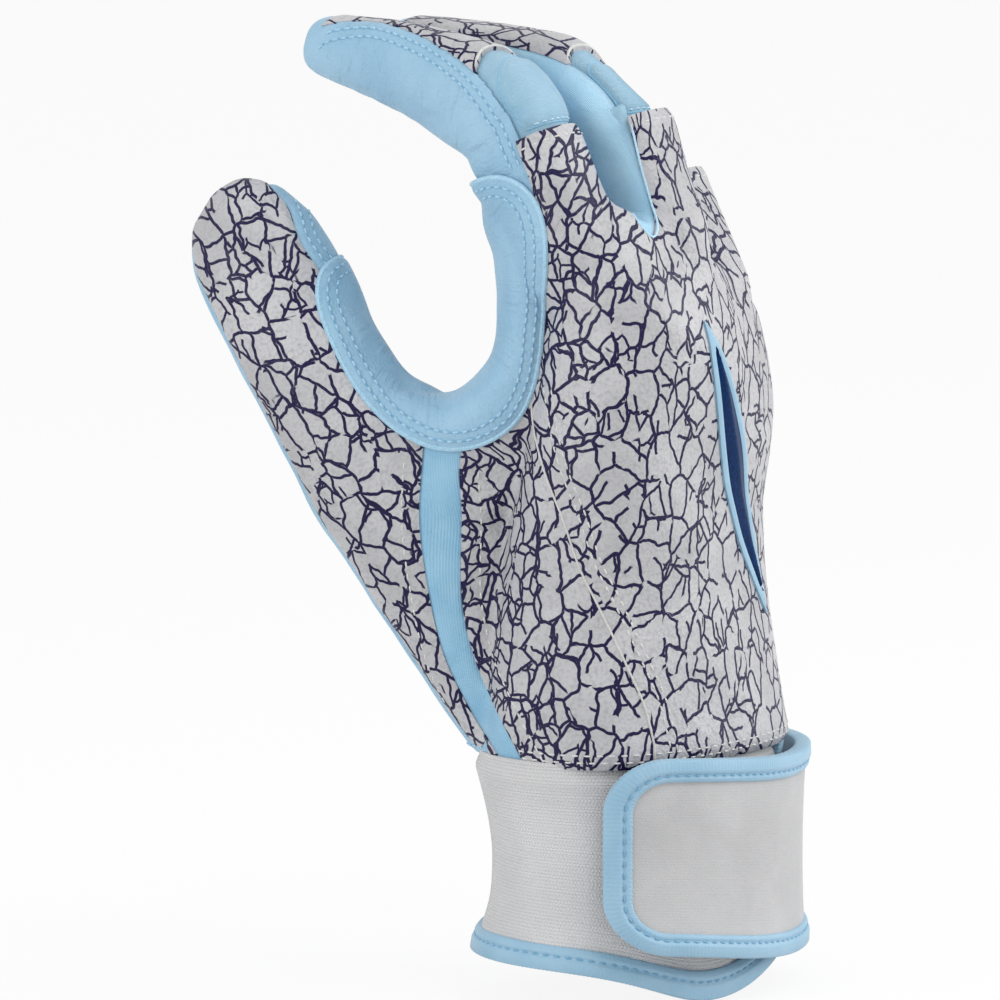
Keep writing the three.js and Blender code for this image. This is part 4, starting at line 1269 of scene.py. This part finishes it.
def build_insert(back_skin):
    skin = back_skin.raised(0)
    skin.values["leaf"], _ = leaf(skin, 0)
    skin.values["film"], skin.values["spine"] = leaf(skin, INSERT_BORDER)
    border = cut(skin, np.minimum(skin.values["leaf"], 0.25 - skin.values["film"])).raised(0.75)
    piece, _ = shell("inset_border", border, 0.9, TAPE, dip=0.3, dip_width=0.5)
    attach(piece, "hand", "insert_border", slot="binding_tape")
    film = cut(skin, skin.values["film"])
    film = film.raised(0.35 + 0.9 * (1 - np.clip(film.values["spine"], 0, 1)))
    piece, _ = shell("inset_film", film, 0.6, INLAY, dip=0.05, dip_width=0.4)
    attach(piece, "hand", "insert", slot="inlay_film")


def build_back_details(back_skin, thumb_skin):
    values = back_skin.values
    seen = values["near"] > 0
    centres = [f["y"] for f in FINGERS.values()]
    lanes = [(low + high) / 2 for low, high in zip(centres, centres[1:])]
    clear = np.min([np.abs(back_skin.points[:, 1] - y) for y in lanes], axis=0) > 0.9
    rows = rows_at(back_skin, values["foot"], FOOT_ROWS)
    rows += levels(back_skin, values["back_side"], 4.0, seen & (values["up"] < 104))
    rows += levels(back_skin, values["knuckle"], 2.2, clear & (values["depth"] > 3) & (values["wedge"] < -2))
    crease = seen & (values["up"] < 121) & (values["back_side"] > 3)
    rows += rows_at(back_skin, values["crease"], CREASE_ROWS, crease)
    wedge_edge = levels(back_skin, -values["wedge"], 0.3, seen & (values["knuckle"] > 1.5))
    piece = bead("wedge_edge", wedge_edge, 0.27, 0.0, FLEX_THREAD)
    attach(piece, "hand", slot="stretch_cloth")
    piece = stitches("back_stitches", rows, PALE_THREAD, **FINE_STITCH)
    attach(piece, "hand")
    # Raised welt along the crease; its pale colour is a painted highlight on the fold's ridge.
    piece = bead("back_crease_welt", levels(back_skin, values["crease"], 0, crease), 0.24, 0.02, PALE_WELT)
    attach(piece, "hand", slot="printed_leather")
    values = thumb_skin.values
    rows = levels(thumb_skin, -values["thumb_side"], 3.6, (values["up"] < 106) & (values["up"] > 46))
    piece = stitches("thumb_stitches", rows, PALE_THREAD, **FINE_STITCH)
    attach(piece, "hand")


def above_index_edge(values):
    """Signed distance in the sketch, positive above the edge of the index finger's print."""
    line = curve_2d(INDEX_EDGE, 240)
    place = np.stack([values["right"], values["up"]], 1)
    gap = np.linalg.norm(place[:, None, :] - line[None, ::3, :], axis=2)
    nearest = gap.argmin(1) * 3
    run = np.gradient(line, axis=0)[nearest]
    offset = place - line[nearest]
    return np.sign(run[:, 0] * offset[:, 1] - run[:, 1] * offset[:, 0]) * gap.min(1)


def add_finger_seams(skin, name, knee, end, sides):
    """Fields of a finger's panels, positive inside: the print's outline, past the knuckle's arch, before
    the tip, the back and the walls on those sides that face a finger."""
    values, finger = skin.values, FINGERS[name]
    s, q, a = values["s"], values["q"], values["a"]
    outline = (q - BACK_SEAM) * finger["thick"]
    if name == "index":
        outline = np.where((a < 0.15) & (q > 0.3) & (s >= 2), above_index_edge(values), outline)
    outline = outline - finger["drop"] * smoothstep(0, -0.5, a)
    arch = knee + 2.5 - 5.5 * (1 - np.sqrt(np.clip(1 - np.abs(a) ** 2, 0, 1)))
    wall = np.minimum.reduce([-outline, (q - PALM_SEAM) * finger["thick"], end - 10 - s])
    values.update(outline=outline, arch=s - arch, tip=end - 5 - s)
    values["dorsal"] = np.minimum(outline, values["tip"])
    values["wall"] = np.where(np.isin(np.sign(a), sides), wall, OUTSIDE)


def build_finger_back(name, skin, position):
    skin = cut(skin, np.minimum(skin.values["dorsal"], skin.values["arch"]))
    skin = skin.raised(0.3 + 0.15 * folds(skin, 9, 21 + position))
    skin.values["u"] = skin.values["u"] + 40 * position + 120
    skin.values["dense"] = np.full(len(skin.points), 0.2)
    piece, skin = shell(f"{name}_back_leather", skin, FINGER_BACK_WALL, PRINT)
    attach(piece, name, f"{name}_back", slot="printed_leather")
    piece = bead(f"{name}_arch_edge", levels(skin, skin.values["arch"], 0.45), 0.33, 0.0, PALE_WELT)
    attach(piece, name)


def build_finger_flex(name, skin, position, bend):
    values, seam = skin.values, FINGERS[name]["seam"]
    skin = cut(skin, np.minimum.reduce([values["dorsal"], -values["arch"] + 0.6, values["s"] + seam + 4]))
    flow = skin.values
    flow["pad"] = np.minimum.reduce([-flow["arch"] - 3.6, flow["outline"] - 1.4, flow["s"] + seam - 1.2])
    skin = skin.raised(
        -0.7 + 0.8 * smoothstep(0, 1.2, flow["pad"]) - 0.4 * smoothstep(-seam, -seam - 3, flow["s"])
        + 0.15 * folds(skin, 6, 31 + position))
    piece, skin = shell(f"{name}_flex_panel", skin, CLOTH_WALL, FLEX)
    attach(piece, name, f"{name}_knuckle", slot="stretch_cloth", bend=bend)
    flow = skin.values
    fold = levels(skin, flow["pad"], 0.1, flow["arch"] > -15)
    attach(bead(f"{name}_flex_fold", fold, 0.26, -0.1, FLEX_CREASE), name, bend=bend)
    rows = levels(skin, flow["s"], 1.8 - seam, flow["outline"] > 1.5)
    attach(stitches(f"{name}_flex_stitches", rows, FLEX_THREAD, **FLEX_STITCH), name, bend=bend)


def build_finger_palm(name, skin, position, bend):
    values = skin.values
    above = values["s"] + (16 if name == "index" else 5)
    around = np.maximum(-values["outline"], -values["tip"])
    skin = cut(skin, np.minimum.reduce([around, -values["wall"], above]))
    flow = skin.values
    flow["u"] = flow["palm_u"]
    deep = smoothstep(0.5, 0.32, flow["q"]) * smoothstep(1.0, -2.0, flow["s"])
    ripple = folds(skin, 5, 41 + position, (2.5, 0.6, 1))
    skin = skin.raised(0.1 - 0.75 * deep + 0.22 * ripple)
    piece, skin = shell(f"{name}_palm_leather", skin, FINGER_PALM_WALL, LEATHER)
    attach(piece, name, f"{name}_palm", slot="palm_leather", bend=bend)
    return skin


def build_finger(name, position):
    finger = FINGERS[name]
    skin, knee, end = finger_skin(finger)
    sides = [sign for sign in (-1, 1) if 0 <= position + sign < len(NAMES)]
    add_finger_seams(skin, name, knee, end, sides)
    bend = finger_bend_line(finger, 7)
    build_finger_back(name, skin, position)
    build_finger_flex(name, skin, position, bend)
    palm = build_finger_palm(name, skin, position, bend)
    values = skin.values
    for sign in sides:
        strip = np.where(np.sign(values["a"]) == sign, values["wall"], OUTSIDE)
        strip_skin = cut(skin, np.minimum(strip, values["s"] + 30) + 0.4).raised(-0.1)
        label = f"{name}_wall_{NAMES[position + sign]}"
        piece, _ = shell(f"{label}_cloth", strip_skin, SATIN_WALL, SATIN)
        attach(piece, name, label, slot="stretch_cloth", bend=bend)
    if name in SEWN_FINGERS:
        flow = palm.values
        edge = (flow["s"] > -9) & (flow["q"] > 0.4) & (flow["s"] < end - 6) & (flow["a"] > SEWN_FINGERS[name])
        sew(f"{name}_edge", rows_at(palm, -flow["outline"], FINGER_ROWS, edge), name, bend)


# Cuff and strap on the wrist's oval
def wrist_oval(angle):
    return CUFF_SHIFT + CUFF_HALF_DEPTH * np.cos(angle), CUFF_SHIFT + CUFF_HALF_WIDTH * np.sin(angle)


def turn_from(start, angle):
    """Degrees from one angle to another, between -180 and 180."""
    return (angle - start + 180) % 360 - 180


WRIST_ANGLES = np.radians(np.linspace(SLIT_ANGLE, SLIT_ANGLE + 360, 2001))
WRIST_LINE = np.stack(wrist_oval(WRIST_ANGLES), 1)
WRIST_RUN = lengths(WRIST_LINE)
WRIST_LENGTH = WRIST_RUN[-1]


def on_wrist(s, z, off, dip=None, waist=CUFF_WAIST):
    """Places at s round the wrist from the slit, z up and off outwards; dip lowers the hem at one angle."""
    s, z, off = np.broadcast_arrays(np.asarray(s, float), np.asarray(z, float), np.asarray(off, float))
    angle = np.interp(np.mod(s, WRIST_LENGTH), WRIST_RUN, WRIST_ANGLES)
    x, y = wrist_oval(angle)
    normal = unit(np.stack([CUFF_HALF_WIDTH * np.cos(angle), CUFF_HALF_DEPTH * np.sin(angle)], -1))
    out = off - waist * np.sin(math.pi * np.clip(z, 0, CUFF_HEIGHT) / CUFF_HEIGHT)
    around = np.degrees(np.arctan2(y - CUFF_SHIFT, x - CUFF_SHIFT))
    lift = HEM_RISE * (0.5 - 0.5 * np.cos(np.radians(around - HEM_LOW_ANGLE)))
    if dip:
        turned = turn_from(dip[2], around)
        lift = dip[0] - dip[1] * np.exp(-((turned / np.where(turned < 0, dip[3], dip[4])) ** 2))
        flare = np.exp(-(turn_from(CUFF_FLARE[2], around) / CUFF_FLARE[3]) ** 2)
        spread = CUFF_FLARE[0] * smoothstep(22, CUFF_HEIGHT, z) + CUFF_FLARE[1] * smoothstep(14, 0, z)
        out = out + flare * spread
    lift = lift * np.clip(1 - z / CUFF_HEIGHT, 0, None)
    if not dip:
        lift = lift + STRAP_TILT[0] - STRAP_TILT[1] * smoothstep(*STRAP_TILT[2:], around)
    return np.stack([x + normal[..., 0] * out, y + normal[..., 1] * out, z + lift], -1)


def wrist_length(angle):
    seen = np.degrees(np.arctan2(WRIST_LINE[:, 1], WRIST_LINE[:, 0]))
    return WRIST_RUN[np.abs(turn_from(angle, seen)).argmin()]


def wrist_sheet(name, place, columns, rows, low, high, material, ripple=0.0, tuck=0.0, **form):
    """Closed curved sheet from low to high over the wrist; place(u, v) gives s and z over the unit square,
    and tuck is how far its top goes in under the hand."""
    u, v = np.meshgrid(np.linspace(0, 1, columns + 1), np.linspace(0, 1, rows + 1), indexing="ij")
    s, z = place(u, v)
    drop = -tuck * smoothstep(CUFF_HEIGHT - 4, CUFF_HEIGHT - 0.5, z)
    sway = ripple * np.sin(s * 0.31 + 0.6 * np.sin(z * 0.2)) * np.sin(z * 0.13 + 1)
    outer, inner = (on_wrist(s, z, off + drop + sway, **form).reshape(-1, 3) for off in (high, low))
    faces = grid_faces(columns + 1, rows + 1, False)[:, ::-1]
    if np.mean(np.einsum("ij,ij->i", point_normals(outer, faces), outer - inner)) < 0:
        faces = faces[:, ::-1]
    uv = np.tile(np.stack([s.ravel(), z.ravel()], 1) / UV_UNIT, (2, 1))
    return add_mesh(name, np.concatenate([outer, inner]), sheet_faces(faces, len(outer)), material, uv)


def tape_swell(inward, width, bulge, seam):
    """Height of a folded tape over the cloth, drawn down where it is sewn."""
    share = inward / width
    sewn = SEAM_DEPTH * np.exp(-(((inward - seam) / SEAM_WIDTH) ** 2))
    return bulge * (1 - 0.55 * share ** 3) + 0.25 * np.sin(math.pi * share) - sewn


def fold_profile(width, low, high, bulge, seam):
    """Section of a folded tape: inward distance from the edge and offset, as a closed outline."""
    middle, half = (low + high) / 2, (high - low) / 2 + bulge
    turns = np.linspace(0, math.pi, 9)
    nose = [(-bulge - 0.25 * math.sin(t) * half, middle + half * math.cos(t)) for t in turns]
    outer = [(p, high + tape_swell(p, width, bulge, seam)) for p in np.linspace(width, 0.15 * width, 13)]
    inner = [(width * k, low - bulge * (1 - 0.4 * k ** 3)) for k in (0.2, 0.5, 0.8, 1)]
    return np.array([(width, middle + 0.2), *outer, *nose, *inner, (width, middle - 0.2)])


def binding(name, edge, profile, ribs, **form):
    """Folded tape swept along an edge of (s, z, inward s, inward z), with fine crosswise ribs."""
    s, z, in_s, in_z = edge.T
    rings = np.stack([on_wrist(s + in_s * p, z + in_z * p, off, **form) for p, off in profile], 1)
    middle = rings.mean(1, keepdims=True)
    length = lengths(middle[:, 0])
    wave = 1 + ribs * np.sin(length * 2 * math.pi / 0.9)[:, None, None]
    points, faces = loft(list(middle + (rings - middle) * wave))
    piece = add_mesh(name, points, faces, TAPE, sharp=70)
    return piece


def even_edge(points, step=0.22):
    """Edge line resampled at even steps: s, z and the inward direction."""
    points = np.array(points, float)
    line = along_line(points, *spaced(points[:, :2], step))
    line[:, 2:] = unit(line[:, 2:])
    return line


def strap_edge(root, end, foot, head, corner):
    sign = math.copysign(1, end - root)
    points = [(root, foot, 0, 1), (end - sign * corner, foot, 0, 1)]
    for centre, start in ((foot + corner, -90), (head - corner, 0)):
        for turn_by in np.radians(np.linspace(start, start + 90, 16)):
            points.append((end - sign * corner * (1 - math.cos(turn_by)), centre + corner * math.sin(turn_by),
                           -sign * math.cos(turn_by), -math.sin(turn_by)))
    points += [(end - sign * corner, head, 0, -1), (root, head, 0, -1)]
    return even_edge(points)


def hem_edge(foot):
    left = SLIT_WIDTH / 2 + CUFF_CORNER
    right = WRIST_LENGTH - left
    height = foot + CUFF_CORNER
    points = [(right + CUFF_CORNER, CUFF_HEIGHT - 1, -1, 0)]
    for centre, start in ((right, 0), (left, -90)):
        for turn_by in np.radians(np.linspace(start, start - 90, 12)):
            points.append((centre + CUFF_CORNER * math.cos(turn_by), height + CUFF_CORNER * math.sin(turn_by),
                           -math.cos(turn_by), -math.sin(turn_by)))
    points.append((left - CUFF_CORNER, CUFF_HEIGHT - 1, 1, 0))
    return even_edge(points)


def rounded_end(end, sign, z, foot, head, corner):
    near = np.clip(corner - np.minimum(z - foot, head - z), 0, corner)
    return end - sign * (corner - np.sqrt(np.clip(corner ** 2 - near ** 2, 0, None)))


def wrist_row(s, z, off, **form):
    """Line over the wrist with its normals, for stitches."""
    line = on_wrist(s, z, off, **form)
    return line, unit(on_wrist(s, z, off + 1, **form) - line)


def taped_edge(name, edge, low, high, width, bulge, seam, ribs, body, node, **form):
    """Folded tape along an edge, sewn on with one row of stitches."""
    piece = binding(f"{name}_tape", edge, fold_profile(width, low, high, bulge, seam), ribs, **form)
    attach(piece, body, node)
    s, z, in_s, in_z = edge[::3].T
    row = wrist_row(s + in_s * seam, z + in_z * seam, high + tape_swell(seam, width, bulge, seam), **form)
    attach(stitches(f"{name}_stitches", [row], TAPE_THREAD, **TAPE_STITCH), body)


def build_cuff():
    foot = 1.4
    slit = SLIT_WIDTH / 2

    def place(u, v):
        z = foot + (CUFF_HEIGHT + 0.6 - foot) * v
        inset = slit - rounded_end(0, 1, np.minimum(z, CUFF_HEIGHT / 2), foot, CUFF_HEIGHT, CUFF_CORNER)
        return inset + (WRIST_LENGTH - 2 * inset) * u, z

    piece = wrist_sheet("cuff_knit_band", place, 260, 60, 0, CUFF_WALL, KNIT,
                        ripple=0.25, tuck=1.5, dip=HEM_DIP)
    attach(piece, "hand", "cuff_band", slot="cuff_knit")
    taped_edge("cuff_hem", hem_edge(foot), 0, CUFF_WALL, HEM_WIDTH, HEM_BULGE, HEM_SEAM, 0.012,
               "hand", "hem_binding", dip=HEM_DIP)


def build_strap():
    end = wrist_length(STRAP_END_ANGLE) - WRIST_LENGTH
    root = wrist_length(STRAP_ROOT_ANGLE)
    top = STRAP_BASE + STRAP_HEIGHT
    face = STRAP_LOW + STRAP_WALL

    def place(u, v):
        z = STRAP_BASE + STRAP_HEIGHT * (1 - np.cos(math.pi * v)) / 2
        tip_s = rounded_end(end, -1, z, STRAP_BASE, top, STRAP_CORNER)
        return tip_s + (root - tip_s) * u, z

    piece = wrist_sheet("strap_face_panel", place, 200, 60, STRAP_LOW, face, STRAP_FACE, waist=STRAP_WAIST)
    attach(piece, "strap", "strap_panel", slot="cuff_knit")
    edge = strap_edge(root, end, STRAP_BASE, top, STRAP_CORNER)
    taped_edge("strap_edge", edge, STRAP_LOW, face, STRAP_BINDING_WIDTH, STRAP_BULGE, STRAP_SEAM, 0.02,
               "strap", "strap_binding", waist=STRAP_WAIST)
    heights = np.linspace(STRAP_BASE + STRAP_BINDING_WIDTH + 1, top - STRAP_BINDING_WIDTH - 1, 60)
    rows = [wrist_row(root - inset, heights, face + 0.05, waist=STRAP_WAIST) for inset in (2.4, 6.2)]
    attach(stitches("strap_root_stitches", rows, PALE_THREAD, **ROOT_STITCH), "strap")

    start = end + 7.6
    pad_foot = STRAP_BASE + (STRAP_HEIGHT - PAD_HEIGHT) / 2
    low = CUFF_WALL + 0.6

    def pad(u, v):
        return start + PAD_LENGTH * u, pad_foot + PAD_HEIGHT * v

    def anchor(u, v):
        return root - 9 * (1 - u), pad_foot + PAD_HEIGHT * v

    for name, node, body, base in (("loop_pile_pad", "loop_pad", "hand", low),
                                   ("hook_pile_pad", "hook_pad", "strap", STRAP_LOW - PAD_WALL - 0.1)):
        piece = wrist_sheet(name, pad, 40, 24, base, base + PAD_WALL, PILE)
        attach(piece, body, node, slot="fastener_pile")
    piece = wrist_sheet("strap_root_tab", anchor, 20, 20, low, STRAP_LOW - 0.3, STRAP_FACE)
    attach(piece, "hand", "strap_anchor", slot="cuff_knit")


# Stage
def plain_rays(nodes):
    """One for rays that show the background as it is: from the camera, by reflection or through a surface."""
    path = nodes.node("LightPath")
    last = path.outputs["Is Camera Ray"]
    for name in ("Is Glossy Ray", "Is Transmission Ray"):
        last = nodes.math("MAXIMUM", last, path.outputs[name])
    return last


def build_floor():
    bpy.ops.mesh.primitive_plane_add(size=FLOOR_SIZE, location=(0, 0, FLOOR))
    floor = bpy.context.object
    floor.name = "floor"
    material = bpy.data.materials.new("floor")
    material.use_nodes = True
    nodes = Nodes(material.node_tree)
    nodes.tree.nodes.clear()
    diffuse = nodes.node("BsdfDiffuse", Color=(FLOOR_GREY, FLOOR_GREY, FLOOR_GREY, 1))
    glow = nodes.node("Emission", Strength=1)
    share = nodes.math("MULTIPLY", plain_rays(nodes), FLOOR_GLOW)
    mix = nodes.node("MixShader", {0: share, 1: diffuse, 2: glow})
    nodes.node("OutputMaterial", {0: mix})
    floor.data.materials.append(material)


def build_light():
    world = bpy.data.worlds.new("studio")
    bpy.context.scene.world = world
    world.use_nodes = True
    nodes = Nodes(world.node_tree)
    background = nodes.tree.nodes["Background"]
    background.inputs["Color"].default_value = (1, 1, 1, 1)
    level = nodes.node("MapRange", {"Value": plain_rays(nodes)}, **{"To Min": WORLD_LEVEL, "To Max": 1})
    nodes.link(level, background.inputs["Strength"])
    target = Vector(LAMP_TARGET)
    for name, (right, near, up, size, power) in LAMPS.items():
        lamp = bpy.data.lights.new(name, "AREA")
        lamp.shape = "DISK"
        lamp.size = size
        lamp.energy = power
        light = bpy.data.objects.new(name, lamp)
        light.location = target + Vector(RIGHT * right + NEAR * near + UP * up)
        light.rotation_euler = (target - light.location).to_track_quat("-Z", "Y").to_euler()
        bpy.context.scene.collection.objects.link(light)


def build_camera():
    data = bpy.data.cameras.new("camera")
    data.lens = LENS
    data.sensor_width = 36
    camera = bpy.data.objects.new("camera", data)
    width = IMAGE_SIZE * PIXEL
    right, up = IMAGE_SIZE / 2 - ORIGIN_PIXEL[0], ORIGIN_PIXEL[1] - IMAGE_SIZE / 2
    middle = RIGHT * right * PIXEL + UP * up * PIXEL
    distance = width / 2 / (data.sensor_width / 2 / data.lens)
    camera.location = Vector((middle + NEAR * distance) * MM)
    camera.rotation_euler = Vector(-NEAR).to_track_quat("-Z", "Y").to_euler()
    data.clip_end = 20
    bpy.context.scene.collection.objects.link(camera)
    bpy.context.scene.camera = camera


build_camera()
build_floor()
build_light()
hand_surface = hand_skin()
add_hand_seams(hand_surface)
back_surface = build_back(hand_surface)
build_side_strip(hand_surface)
thumb_surface = build_thumb_back(hand_surface)
build_palm(hand_surface)
build_web_patch(hand_surface)
build_crotches(hand_surface)
build_back_details(back_surface, thumb_surface)
build_insert(back_surface)
for number, finger_name in enumerate(NAMES):
    build_finger(finger_name, number)
build_cuff()
build_strap()
bpy.context.scene.view_settings.view_transform = "Standard"
